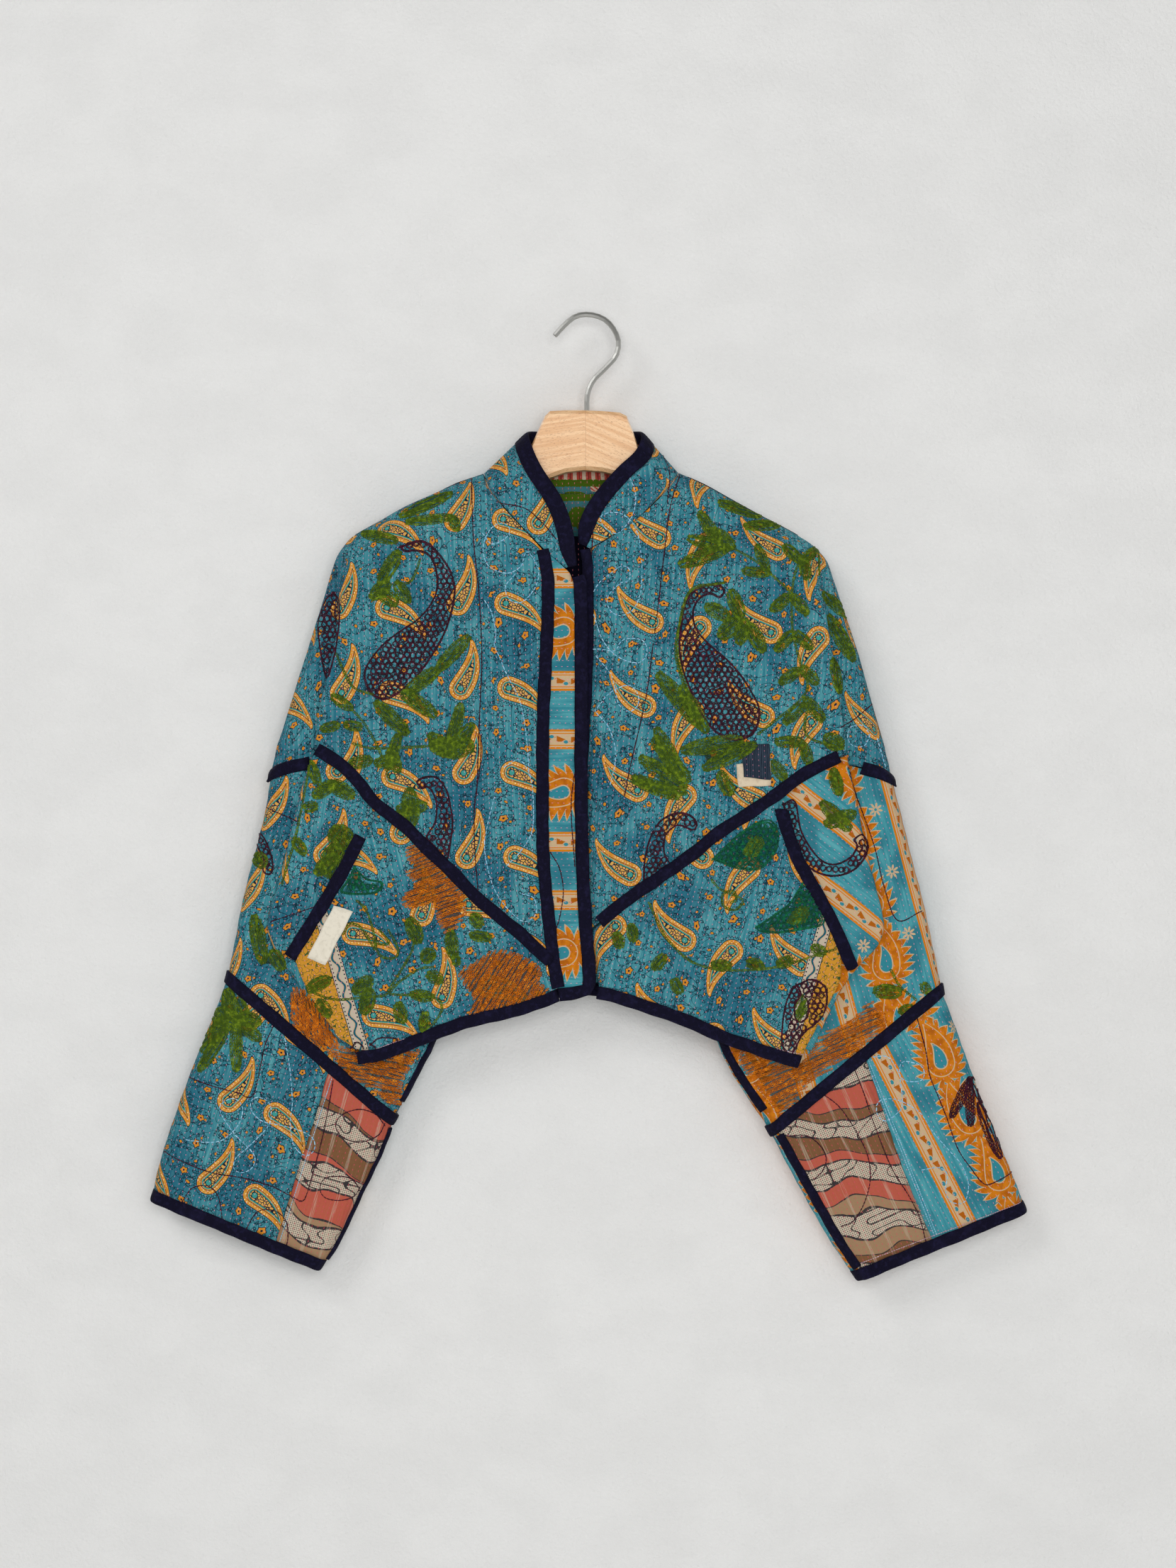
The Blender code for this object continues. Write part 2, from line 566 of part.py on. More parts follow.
def edge_bar(name, edge, inward, mat, wide=BIND_WIDE, thick=EDGE_THICK, closed=False,
             gap=SEAM_GAP, steep=1.0):
    """Bind the edge of a panel: a rounded bar just past the panel's own edge points."""
    tangent = tangents(edge, closed)
    out = unit(edge - inward)
    out[:, 1] = out[:, 1] * steep
    out = unit(out - tangent * np.sum(out * tangent, axis=1, keepdims=True))
    up = np.cross(out, tangent)
    mid = edge + out * ((gap + wide / 2) * MM)
    return sweep(name, mid, out, up, bar_section(wide, thick), mat, closed)


def cloth_tree(objects):
    """Gather panels into one tree of faces."""
    verts = []
    polys = []
    for obj in objects:
        base = len(verts)
        verts += [v.co.copy() for v in obj.data.vertices]
        polys += [tuple(base + i for i in f.vertices) for f in obj.data.polygons]
    return BVHTree.FromPolygons(verts, polys)


def press(tree, q, n, reach=0.012, deep=0.0035):
    """Find the cloth near a point, looking in along its normal."""
    start = Vector(q + n * reach)
    hit = tree.ray_cast(start, Vector(-n), reach + deep)
    return None if hit[0] is None else np.array(hit[0])


def settle(grid, normals, tree, clear, closed=False):
    """Set a small sheet on the cloth and keep all of it clear of what lies under it."""
    rows, cols = grid.shape[:2]
    gap = clear * MM
    out = grid.copy()
    for k in range(cols):
        n = normals[k]
        for r in range(rows):
            found = press(tree, out[r, k], n)
            if found is None:
                out[r, k] = out[r, k] + n * (WALL_MM * MM / 2 + gap)
            else:
                out[r, k] = found + n * gap
    shares = (0.0, 0.12, 0.3, 0.5, 0.7, 0.88, 1.0)
    for _ in range(3):
        for k in range(cols if closed else cols - 1):
            j = (k + 1) % cols
            for r in range(rows - 1):
                push = 0.0
                for t in shares:
                    n = unit(normals[k] * (1 - t) + normals[j] * t)
                    for f in shares:
                        q = (out[r, k] * (1 - t) + out[r, j] * t) * (1 - f) \
                            + (out[r + 1, k] * (1 - t) + out[r + 1, j] * t) * f
                        found = press(tree, q, n)
                        if found is not None:
                            push = max(push, float(np.dot(found + n * gap - q, n)))
                if push > 1e-5:
                    for row in (r, r + 1):
                        out[row, k] = out[row, k] + normals[k] * push
                        out[row, j] = out[row, j] + normals[j] * push
    return out


def lay_strip(name, path, normals, panels, mat, wide=BIND_WIDE, closed=False, clear=SEAM_GAP):
    """Lay a flat binding along a path, down on the panels it joins."""
    side = unit(np.cross(tangents(path, closed), normals))
    w = wide * MM / 2
    tree = cloth_tree(panels)
    grid = np.array([path + side * a for a in (-w, 0.0, w)])
    low = settle(grid, normals, tree, clear, closed)
    for k in range(len(path)):
        level = [float(np.dot(low[r, k] - path[k], normals[k])) for r in (0, 2)]
        here = float(np.dot(low[1, k] - path[k], normals[k]))
        low[1, k] = low[1, k] + normals[k] * max(0.0, sum(level) / 2 - here)
    top = BIND_THICK * MM
    verts = []
    for k in range(len(path)):
        n = normals[k]
        verts += [low[0, k], low[1, k], low[2, k], low[2, k] - side[k] * w * 0.14 + n * top,
                  low[1, k] + n * top, low[0, k] + side[k] * w * 0.14 + n * top]
    return ring_mesh(name, verts, 6, len(path), mat, closed)


def ring_mesh(name, verts, m, count, mat, closed=False):
    """Join rings of m points into a closed tube or a capped one."""
    faces = []
    for k in range(count if closed else count - 1):
        j = (k + 1) % count
        for i in range(m):
            h = (i + 1) % m
            faces.append((k * m + i, k * m + h, j * m + h, j * m + i))
    if not closed:
        faces.append(tuple(range(m)))
        faces.append(tuple((count - 1) * m + i for i in reversed(range(m))))
    return add_mesh(name, verts, faces, mat)


def seam_strip(name, points, count, depth_of, face, panels, mat):
    """Bind a seam of the body."""
    p = smooth_path(points, count)
    here, n = surface_frame(p, depth_of, face)
    return lay_strip(name, here, n, panels, mat, clear=SEAM_GAP + 0.2)


def surface_frame(p, depth_of, face):
    """Points and outward normals of a body layer under drawing points."""
    here = place(p, depth_of(p), face)
    step = []
    for move in (np.array([0.12, 0.0]), np.array([0.0, 0.12])):
        ahead = place(p + move, depth_of(p + move), face)
        behind = place(p - move, depth_of(p - move), face)
        step.append(ahead - behind)
    n = unit(np.cross(step[0], step[1]))
    flip = np.sign(n[:, 1]) * face
    n = n * np.where(flip == 0, 1, flip)[:, None]
    return here, n


def patch(name, corners, panels, lift, mat):
    """Lay a small flat piece on the front."""
    c = np.asarray(corners, float)
    u, v = np.meshgrid(np.linspace(0, 1, 4), np.linspace(0, 1, 4))
    p = ((1 - u) * (1 - v))[..., None] * c[0] + (u * (1 - v))[..., None] * c[1] \
        + (u * v)[..., None] * c[2] + ((1 - u) * v)[..., None] * c[3]
    here, _ = surface_frame(p.reshape(-1, 2), front_depth, -1)
    grid = here.reshape(4, 4, 3)
    normal = np.array([[0.0, -1.0, 0.0]] * 4)
    laid = settle(grid, normal, cloth_tree(panels), lift + PATCH_THICK / 2)
    return wall(name, laid, mat, half=PATCH_THICK * MM / 2)


def yoke_grids():
    """Points and normals of the two front yokes and of the back yoke."""
    counts = (3, 6, 1, 1, 6)
    p, d, w = yoke_half(RIDGE_LEFT, NECK_LEFT, SEAM_LEFT, FOLD_LEFT, VALLEY_LEFT, ARM_LEFT,
                        PLACKET_LEFT, -1, counts)
    right = place(p, d, -1)
    right_n = yoke_normals(right, p, w, front_depth, -1)
    p, d, w = yoke_half(RIDGE_RIGHT, NECK_RIGHT, SEAM_RIGHT, FOLD_RIGHT, VALLEY_RIGHT,
                        ARM_RIGHT, PLACKET_RIGHT, -1, counts)
    left = place(p, d - lap_step(p), -1)
    left_n = yoke_normals(left, p, w, under_depth, -1)
    counts = (2, 4, 1, 1, 5)
    mid = [(824, 699), (824, 860), (824, 1020), (824, 1181)]
    neck = part_of(NECK_BACK, (824, 699), (683, 670))
    seam = part_of(BACK_SEAM, (824, 1181), (449, 1056))
    pl, dl, wl = yoke_half(RIDGE_LEFT, neck, seam, FOLD_LEFT, VALLEY_LEFT, ARM_LEFT, mid, 1,
                           counts)
    neck = part_of(NECK_BACK, (824, 699), (957, 669))
    seam = part_of(BACK_SEAM, (824, 1181), (1189, 1062))
    pr, dr, wr = yoke_half(RIDGE_RIGHT, neck, seam, FOLD_RIGHT, VALLEY_RIGHT, ARM_RIGHT, mid, 1,
                           counts)
    p = np.concatenate([pl[:, ::-1], pr[:, 1:]], axis=1)
    d = np.concatenate([dl[:, ::-1], dr[:, 1:]], axis=1)
    w = np.concatenate([wl[:, ::-1], wr[:, 1:]], axis=1)
    back = place(p, d, 1)
    back_n = yoke_normals(back, p, w, back_depth, 1)
    columns = pl.shape[1]
    return (right, right_n), (left, left_n), (back, back_n), columns


def under_depth(p):
    """Depth of the front that laps under."""
    return front_depth(p) - lap_step(p)


def side_panel(side, mat):
    """Build a side panel: pocket back, fold, and the tuck in to the side seam."""
    rows = 12
    v = np.linspace(0.0, 1.0, rows)
    if side == "right":
        fold, tuck, seam = SIDE_LEFT, TUCK_LEFT, SEAM_LEFT
        hidden = [(572, 1166), (566, 1270), (560, 1380), (556, 1460)]
        hem = [(556, 1460), (525, 1472), (497, 1478)]
        inner_hem = [(497, 1478), (560, 1460), (660, 1418)]
    else:
        fold, tuck, seam = SIDE_RIGHT, TUCK_RIGHT, SEAM_RIGHT
        hidden = [(1062, 1146), (1066, 1270), (1072, 1380), (1078, 1462)]
        hem = [(1078, 1462), (1110, 1474), (1143, 1478)]
        inner_hem = [(1143, 1478), (1080, 1462), (978, 1426)]
    top = part_of(seam, hidden[0], seam[-1]) + np.array([0.0, 3.0])
    inner_top = [tuple(fold[0]), tuple(tuck[0])]
    fold_at = along(fold)
    hid_at = along(hidden)
    wide = np.linalg.norm(fold_at(v) - hid_at(v), axis=1)
    ends = edge_columns(wide, (2.4, 0.7, 0.0), True)
    lead = np.linspace(0.0, 1.0, 6)[None] * ends[:, :1]
    u = np.concatenate([lead, ends[:, 1:]], axis=1)
    vs = np.broadcast_to(v[:, None], u.shape)
    front = coons(top, hem, hidden, fold, u, vs)
    tuck_at = along(tuck)
    wide = np.linalg.norm(fold_at(v) - tuck_at(v), axis=1)
    a = edge_columns(wide, (0.7, 2.4), False)
    b = edge_columns(wide, (6.0, 1.8, 0.0), True)
    mid = a[:, 1:] + (b[:, :1] - a[:, 1:]) * np.linspace(0.0, 1.0, 5)[None, 1:-1]
    u2 = np.concatenate([a, mid, b, np.ones((rows, 1))], axis=1)
    vs2 = np.broadcast_to(v[:, None], u2.shape)
    inner = coons(inner_top, inner_hem, fold, tuck, u2, vs2)
    p = np.concatenate([front, inner], axis=1)
    near = front_depth(p)
    # Behind the pocket panel the cloth steps back; at the side it is the front itself.
    if side == "right":
        bare = smooth_step((518.0 - p[..., 0]) / 45.0)
    else:
        bare = smooth_step((p[..., 0] - 1107.0) / 45.0)
    step = POCKET_STEP * (1.0 - (1.0 - smooth_step(v[:, None] / 0.22)) * bare)
    near = near - step
    far = near - 4.6
    cols = u.shape[1]
    w = np.zeros(p.shape[1])
    w[:cols] = 1.0
    w[cols - 2] = 0.854
    w[cols - 1] = 0.5
    w[cols] = 0.146
    depth = w[None] * near + (1 - w[None]) * np.minimum(far, 14.8)
    depth[:, -3] = depth[:, -3] * 0.86
    depth[:, -2] = 6.0
    depth[:, -1] = SEAM_DEPTH + SEAM_GAP
    return wall("side_panel_" + side, place(p, depth, -1), mat)


def pocket_grid(side):
    """Points of the lower front panel that carries the pocket mouth."""
    rows = 11
    if side == "right":
        top = part_of(SEAM_LEFT, SEAM_LEFT[0], POCKET_LEFT[0])[::-1] + np.array([0.0, 2.6])
        left = POCKET_LEFT[:-1] + TURN_LEFT
        inner = PLACKET_LOWER
        hem = HEM_LEFT
        depth_of = front_depth
    else:
        top = part_of(SEAM_RIGHT, SEAM_RIGHT[0], POCKET_RIGHT[0])[::-1] + np.array([0.0, 5.0])
        left = POCKET_RIGHT[:-1] + TURN_RIGHT
        inner = [(834, 1313), (840, 1350), (845, 1389)]
        hem = HEM_RIGHT[::-1]
        depth_of = under_depth
    u = np.broadcast_to(np.linspace(0.0, 1.0, 13)[None], (rows, 13))
    v = np.broadcast_to(np.linspace(0.0, 1.0, rows)[:, None], (rows, 13))
    p = coons(top, hem, left, inner, u, v)
    depth = depth_of(p)
    return place(p, depth, -1)


def back_lower(mat):
    """Build the back below its seam, tucked in at both side seams."""
    rows = 9
    v = np.linspace(0.0, 1.0, rows)
    parts = []
    weights = []
    tuck_l = along(TUCK_LEFT)
    fold_l = along(BACK_FOLD_LEFT)
    wide = np.linalg.norm(tuck_l(v) - fold_l(v), axis=1)
    a = edge_columns(wide, (1.8, 6.0), False)
    b = edge_columns(wide, (2.4, 0.7), True)
    mid = a[:, 1:] + (b[:, :1] - a[:, 1:]) * np.linspace(0.0, 1.0, 5)[None, 1:-1]
    zero = np.zeros((rows, 2))
    u = np.concatenate([zero, a, mid, b, np.ones((rows, 1))], axis=1)
    vs = np.broadcast_to(v[:, None], u.shape)
    hem = [(660, 1418), (560, 1460), (500, 1478)]
    parts.append(coons([TUCK_LEFT[0], (448, 1060)], hem, TUCK_LEFT, BACK_FOLD_LEFT, u, vs))
    w = [0.0] * u.shape[1]
    w[-2] = 0.146
    w[-1] = 0.5
    weights += w
    fold_r = along(BACK_FOLD_RIGHT)
    wide = np.linalg.norm(fold_r(v) - fold_l(v), axis=1)
    a = edge_columns(wide, (0.7, 2.4), False)
    b = edge_columns(wide, (2.4, 0.7), True)
    mid = a[:, 1:] + (b[:, :1] - a[:, 1:]) * np.linspace(0.0, 1.0, 13)[None, 1:-1]
    u = np.concatenate([a, mid, b, np.ones((rows, 1))], axis=1)
    vs = np.broadcast_to(v[:, None], u.shape)
    top = np.asarray(BACK_SEAM, float) + np.array([0.0, 3.4])
    parts.append(coons(top, BACK_HEM, BACK_FOLD_LEFT, BACK_FOLD_RIGHT, u, vs))
    w = [1.0] * u.shape[1]
    w[0] = 0.854
    w[-2] = 0.854
    w[-1] = 0.5
    weights += w
    tuck_r = along(TUCK_RIGHT)
    wide = np.linalg.norm(tuck_r(v) - fold_r(v), axis=1)
    a = edge_columns(wide, (0.7, 2.4), False)
    b = edge_columns(wide, (6.0, 1.8), True)
    mid = a[:, 1:] + (b[:, :1] - a[:, 1:]) * np.linspace(0.0, 1.0, 5)[None, 1:-1]
    one = np.ones((rows, 2))
    u = np.concatenate([a, mid, b, one], axis=1)
    vs = np.broadcast_to(v[:, None], u.shape)
    hem = [(1136, 1480), (1080, 1462), (978, 1426)]
    parts.append(coons([(1190, 1066), TUCK_RIGHT[0]], hem, BACK_FOLD_RIGHT, TUCK_RIGHT, u, vs))
    w = [0.0] * u.shape[1]
    w[0] = 0.146
    weights += w
    p = np.concatenate(parts, axis=1)
    w = np.array(weights)[None]
    near = back_depth(p)
    depth = w * near + (1 - w) * (near - 4.8)
    for first, second, third in ((0, 1, 2), (-1, -2, -3)):
        depth[:, first] = -(SEAM_DEPTH - SEAM_GAP)
        depth[:, second] = 5.0
        depth[:, third] = depth[:, third] * 0.86
    grid = place(p, depth, 1)
    return wall("back_lower", grid, mat), grid


def place_sleeve(p, y_mm):
    """Put sleeve points into the object, with the soft waves of the cloth."""
    wave = drape(p) * np.clip(np.abs(y_mm) / 10.0, 0.0, 1.0) * 0.7
    x = (p[..., 0] - ZERO_X) * UNIT
    z = -(p[..., 1] - ZERO_Y) * UNIT
    return np.stack([x, (y_mm - wave) * MM, z], axis=-1)


def sleeve_ring(outer, inner, rise, offset, share):
    """Round a flattened sleeve once; gives a follower and marked spots along it."""
    o = np.asarray(outer, float)
    i = np.asarray(inner, float)
    width = np.linalg.norm(o - i)
    roll = SLEEVE_ROLL / UNIT_MM
    turn = roll * (1 - np.cos(np.linspace(0.0, math.pi / 2, 12)))
    d = np.concatenate([turn, np.linspace(roll, width - roll, 40)[1:-1], (width - turn)[::-1]])

    def side(depth, sign):
        t = (d / width)[:, None]
        p = i + (o - i) * t
        p[:, 1] -= rise * np.sin(math.pi * t[:, 0]) ** 0.55
        y = depth * np.minimum(quarter(d / roll), quarter((width - d) / roll))
        return place_sleeve(p, y * sign)

    front = side(SLEEVE_FRONT, -1.0)
    back = side(SLEEVE_BACK, 1.0)[::-1]
    loop = np.vstack([front, back[1:]])
    length = np.concatenate([[0.0], np.cumsum(np.linalg.norm(np.diff(loop, axis=0), axis=1))])
    total = length[-1]
    nf = len(front)

    def at(s):
        s = np.mod(s, total)
        return np.stack([np.interp(s, length, loop[:, k]) for k in range(3)], axis=-1)

    marks = {"start": np.interp(offset, d, length[:nf]),
             "r": np.interp(roll, d, length[:nf]),
             "a": np.interp(width - roll, d, length[:nf]),
             "o": length[nf - 1]}
    marks["b"] = marks["o"] + (marks["o"] - marks["a"])
    marks["c"] = total - marks["r"]
    marks["split"] = np.interp(share * width, d, length[:nf])
    marks["end"] = total + marks["start"]
    return at, marks


def sleeve_rows(stations, rows):
    """Ease between the sleeve's stations."""
    flat = np.array([[o[0], o[1], i[0], i[1], r, e] for o, i, r, e in stations], float)
    dense = smooth_path(flat, 200)
    rel = np.linspace(0.0, 1.0, 200)
    at = np.linspace(0.0, 1.0, rows)
    return np.stack([np.interp(at, rel, dense[:, k]) for k in range(6)], axis=1)


def runs(*spans):
    """Join runs of even spacing, each given as start, end and count."""
    out = [np.linspace(*spans[0])]
    for a, b, n in spans[1:]:
        out.append(np.linspace(a, b, n)[1:])
    return np.concatenate(out)


def sleeve_grid(stations, rows, part, gore):
    """Points of a sleeve part: the whole round, the gore, or all but the gore."""
    table = sleeve_rows(stations, rows)
    half = 0.75 * SEAM_GAP * MM
    grid = []
    slope = []
    for k, (ox, oy, ix, iy, rise, off) in enumerate(table):
        share = gore[0] + (gore[1] - gore[0]) * k / (rows - 1)
        at, m = sleeve_ring((ox, oy), (ix, iy), rise, off, share)
        if part == "gore":
            s = runs((m["start"] + half, m["r"], 3), (m["r"], m["split"] - half, 3))
        elif part == "main":
            s = runs((m["split"] + half, m["a"], 4), (m["a"], m["o"], 4), (m["o"], m["b"], 4),
                     (m["b"], m["c"], 6), (m["c"], m["end"] - half, 6))
        else:
            s = runs((m["start"] + half, m["r"], 3), (m["r"], m["split"], 3),
                     (m["split"], m["a"], 4), (m["a"], m["o"], 4), (m["o"], m["b"], 4),
                     (m["b"], m["c"], 6), (m["c"], m["end"] - half, 6))
        grid.append(at(s))
        slope.append(at(s + 0.0012) - at(s - 0.0012))
    grid = np.array(grid)
    normals = unit(np.cross(np.array(slope), np.gradient(grid, axis=0)))
    return grid, normals


def step_in(edge, nxt, amount):
    """Move an edge a set distance toward the next row."""
    return edge + unit(nxt - edge) * amount


def ring_strip(name, ring, axis, panels, mat, closed=True):
    """Lay a flat binding round a sleeve on its own ring of points."""
    tangent = tangents(ring, closed)
    n = unit(np.cross(tangent, axis))
    if np.sum(n[:, 1] * (ring - ring.mean(axis=0))[:, 1]) < 0:
        n = -n
    return lay_strip(name, ring, n, panels, mat, closed=closed, clear=SEAM_GAP + 0.1)


def sleeve(side, mats):
    """Build a sleeve: upper part, cuff part, gore and bindings."""
    if side == "right":
        upper, lower, gore = UPPER_LEFT, LOWER_LEFT, GORE_LEFT
        main = mats["teal_print"]
    else:
        upper, lower, gore = UPPER_RIGHT, LOWER_RIGHT, GORE_RIGHT
        main = mats["flame_print"]
    navy = mats["navy_binding"]
    even = (gore[0], gore[0])
    trim = 0.5 * SEAM_GAP * MM
    top, top_n = sleeve_grid(upper, 9, "whole", even)
    arm_ring = top[0].copy()
    arm_axis = unit(top[1] - top[0])
    top[0] = step_in(top[0], top[1], trim + 0.0003)
    end_axis = unit(top[-1] - top[-2])
    top[-1] = step_in(top[-1], top[-2], trim)
    arm = wall("sleeve_upper_" + side, top, main, normals=top_n)
    low, low_n = sleeve_grid(lower, 8, "main", gore)
    piece, piece_n = sleeve_grid(lower, 8, "gore", gore)
    keep = np.r_[0:len(piece[0]) - 1, len(piece[0]):len(piece[0]) + len(low[0]) - 1]
    elbow = np.vstack([piece[0], low[0]])[keep]
    axis = np.vstack([unit(piece[1] - piece[0]), unit(low[1] - low[0])])[keep]
    shift = end_axis.mean(axis=0)
    axis = unit(axis + shift[None])
    low[0] = step_in(low[0], low[1], trim)
    piece[0] = step_in(piece[0], piece[1], trim)
    cuff = wall("sleeve_cuff_" + side, low, main, normals=low_n)
    patch_piece = wall("cuff_gore_" + side, piece, mats["salmon_print"], normals=piece_n)
    ring_strip("elbow_binding_" + side, elbow, axis, [arm, cuff, patch_piece], navy)
    edge = np.vstack([piece[-1], low[-1]])[keep]
    inward = np.vstack([piece[-2], low[-2]])[keep]
    edge_bar("cuff_binding_" + side, edge, inward, navy, closed=True)
    for name, grid, first, last in (("underarm_binding_upper_", top, 0.42, 0.950),
                                    ("underarm_binding_cuff_", None, 0.055, 0.992)):
        if grid is None:
            a, b, a2, b2 = piece[:, 0], low[:, -1], piece[:, 1], low[:, -2]
        else:
            a, b, a2, b2 = grid[:, 0], grid[:, -1], grid[:, 1], grid[:, -2]
        line = (a + b) / 2
        rel = np.linspace(0.0, 1.0, len(line))
        at = np.concatenate([[first], rel[(rel > first) & (rel < last)], [last]])

        def pick(values):
            return np.stack([np.interp(at, rel, values[:, k]) for k in range(3)], axis=1)

        path = pick(line)
        across = pick(unit(a - b + 0.02 * (a2 - b2)))
        n = unit(np.cross(tangents(path), across))
        bend = pick(a2 + b2 - a - b)
        n = n * -np.sign(np.sum(n * bend, axis=1, keepdims=True))
        lay_strip(name + side, path, n, [arm, cuff, patch_piece], navy, wide=UNDERARM_WIDE)
    sel = slice(6, 15)
    ring_strip("armhole_binding_" + side, arm_ring[sel], arm_axis[sel],
               [arm] + [bpy.data.objects[k] for k in ("front_yoke_" + side, "back_yoke")], navy,
               False)


def collar(mats, right, left, back, back_cols):
    """Build the stand collar and its wide rim binding."""
    front_count = 7
    back_count = 6
    mid_back = back_cols - 1
    rear = back[0, mid_back - back_count + 1:mid_back + back_count]

    def fine(points, extra):
        out = [points[0]]
        for k in range(1, len(points)):
            parts = extra if np.linalg.norm(points[k] - points[k - 1]) > 0.014 else 1
            for j in range(1, parts + 1):
                out.append(points[k - 1] + (points[k] - points[k - 1]) * j / parts)
        return np.array(out)

    front_r = fine(right[0, :front_count], 3)
    front_l = fine(left[0, :front_count][::-1], 3)
    rear = fine(rear, 2)
    start = np.array([[(797 - ZERO_X) * UNIT, -0.0236, -(803 - ZERO_Y) * UNIT],
                      [(780 - ZERO_X) * UNIT, -0.0236, -(791 - ZERO_Y) * UNIT]])
    base_r = np.vstack([start, front_r[1:]])
    base_r[-1, 1] = 0.0
    base_l = front_l
    base_l[0, 1] = 0.0
    base = np.vstack([base_r, rear[1:-1], base_l])
    rim_r = [(813, 800, 26.5), (812, 775, 26.5), (809, 752, 26), (803, 730, 25), (795, 710, 24),
             (785, 692, 22.5), (772, 674, 20.5), (762, 658, 18), (755, 643, 16),
             (749, 628, 13.2), (745.5, 617, 8), (744, 610, 0)]
    rim_b = [(744, 610, 0), (746, 608.5, -6), (752, 607.5, -11.5), (765, 607, -15),
             (785, 607, -16.5), (824, 607, -17.5), (866, 607, -16.5), (884, 607, -15),
             (898, 607.5, -11.5), (904, 608.5, -6), (906, 610, 0)]
    rim_l = [(906, 610, 0), (905.5, 620, 8), (901, 632, 13.2), (891, 645, 15.5),
             (878, 655, 17.5), (864, 670, 19), (850, 685, 20), (838, 700, 20.5),
             (826, 718, 20.5), (817, 737, 20), (814, 753, 19.5), (816, 768, 19)]

    def rim_points(table, like):
        path = smooth_path(table, 200)
        long = np.concatenate([[0.0], np.cumsum(np.linalg.norm(np.diff(like, axis=0), axis=1))])
        rel = long / long[-1]
        rel = 0.5 * rel + 0.5 * np.linspace(0.0, 1.0, len(rel))
        dense = np.linspace(0.0, 1.0, 200)
        path = np.stack([np.interp(rel, dense, path[:, k]) for k in range(3)], axis=1)
        return np.stack([(path[:, 0] - ZERO_X) * UNIT, -path[:, 2] * MM,
                         -(path[:, 1] - ZERO_Y) * UNIT], axis=1)

    rim = np.vstack([rim_points(rim_r, base_r), rim_points(rim_b, rear)[1:-1],
                     rim_points(rim_l, base_l)])
    gap = np.linalg.norm(rim - base, axis=1)
    band = np.minimum(0.0135, gap * 0.62)
    t_end = 1.0 - (band + 1.6 * SEAM_GAP * MM) / gap
    lift = 0.0013 / gap
    grid = []
    for f in np.linspace(0.0, 1.0, 5):
        t = lift + (t_end - lift) * f
        grid.append(base + (rim - base) * t[:, None])
    wall("collar", np.array(grid), mats["teal_print"], half=0.0009)
    way = (rim - base) / gap[:, None]
    mid = rim - way * (band / 2)[:, None]
    n = unit(np.cross(tangents(mid), way))
    ring = [(-1.0, -0.9), (-1.0, 0.9), (0.7, 1.0), (1.0, 0.3), (1.0, -0.3), (0.7, -1.0)]
    verts = []
    for k in range(len(mid)):
        for a, b in ring:
            verts.append(mid[k] + way[k] * (a * band[k] / 2) + n[k] * (b * 0.0019))
    ring_mesh("collar_binding", verts, len(ring), len(mid), mats["navy_binding"])


def placket(mats, right, pocket_r, left, panels):
    """Build the printed strip down the front edge and its bindings."""
    navy = mats["navy_binding"]
    inner = np.vstack([right[:-1, 0], pocket_r[:, -1]])
    inner = inner + np.array([0.0006, 0.0, 0.0])
    rows = len(inner)
    outer = np.asarray(FRONT_EDGE, float) - np.array([9.4, 0.0])
    outer[0] = (798, 808)
    path = smooth_path(outer, 200)
    py = -inner[:, 2] / UNIT + ZERO_Y
    lo, hi = py[0], py[-1]
    first, last = outer[0, 1], 1387
    target = first + (py - lo) / (hi - lo) * (last - first)
    ox = np.interp(target, path[:, 1], path[:, 0])
    outer_p = np.stack([ox, target], axis=1)
    inner_p = np.stack([inner[:, 0] / UNIT + ZERO_X, py], axis=1)
    grid = np.zeros((rows, 4, 3))
    for c, f in enumerate((0.0, 1 / 3, 2 / 3, 1.0)):
        p = inner_p * (1 - f) + outer_p * f
        grid[:, c] = place(p, front_depth(p), -1)
    grid[:, 0] = inner
    strip = wall("placket_strip", grid, mats["flame_print"])
    seam_strip("placket_binding_inner", PLACKET_LEFT[:-1] + [(780, 1354), (785, 1375), (788, 1391)],
               20, front_depth, -1, panels + [strip], navy)
    side_edge = grid[2:, 3]
    bottom = grid[-1, ::-1][1:]
    edge = np.vstack([side_edge, bottom])
    out = np.zeros_like(edge)
    n_side = len(side_edge) - 1
    for k in range(len(edge)):
        if k < n_side:
            out[k] = (1.0, 0.0, 0.0)
        elif k == n_side:
            out[k] = (0.75, 0.0, -0.75)
        else:
            out[k] = (0.12, 0.0, -1.0)
    out = unit(out)
    w = BIND_WIDE
    mid = edge + out * ((SEAM_GAP + 0.25 + w / 2) * MM)
    tangent = tangents(mid)
    out = unit(out - tangent * np.sum(out * tangent, axis=1, keepdims=True))
    up = np.cross(out, tangent)
    sweep("placket_binding_front", mid, out, up, bar_section(w, EDGE_THICK), navy)
    edge_bar("underlap_binding", left[:, 0], left[:, 1], navy, wide=UNDERLAP_WIDE, gap=0.5)


def shoulder_binding(side, mat):
    """Bind the shoulder seam on top of the ridge."""
    ridge = RIDGE_LEFT if side == "right" else RIDGE_RIGHT
    end = (628, 691) if side == "right" else (1124, 756)
    start = (668, 675) if side == "right" else (968, 673)
    p = smooth_path(part_of(ridge, start, end), 12)
    x = (p[:, 0] - ZERO_X) * UNIT
    z = -(p[:, 1] - ZERO_Y) * UNIT
    here = np.stack([x, np.zeros(len(x)), z], axis=1)
    t = tangents(here)
    flat = np.array([0.0, 1.0, 0.0])[None]
    n = unit(np.cross(flat, t))
    n = n * np.sign(n[:, 2:3])
    panels = [bpy.data.objects[k] for k in ("front_yoke_" + side, "back_yoke")]
    lay_strip("shoulder_binding_" + side, here, n, panels, mat, wide=SHOULDER_WIDE, clear=0.6)


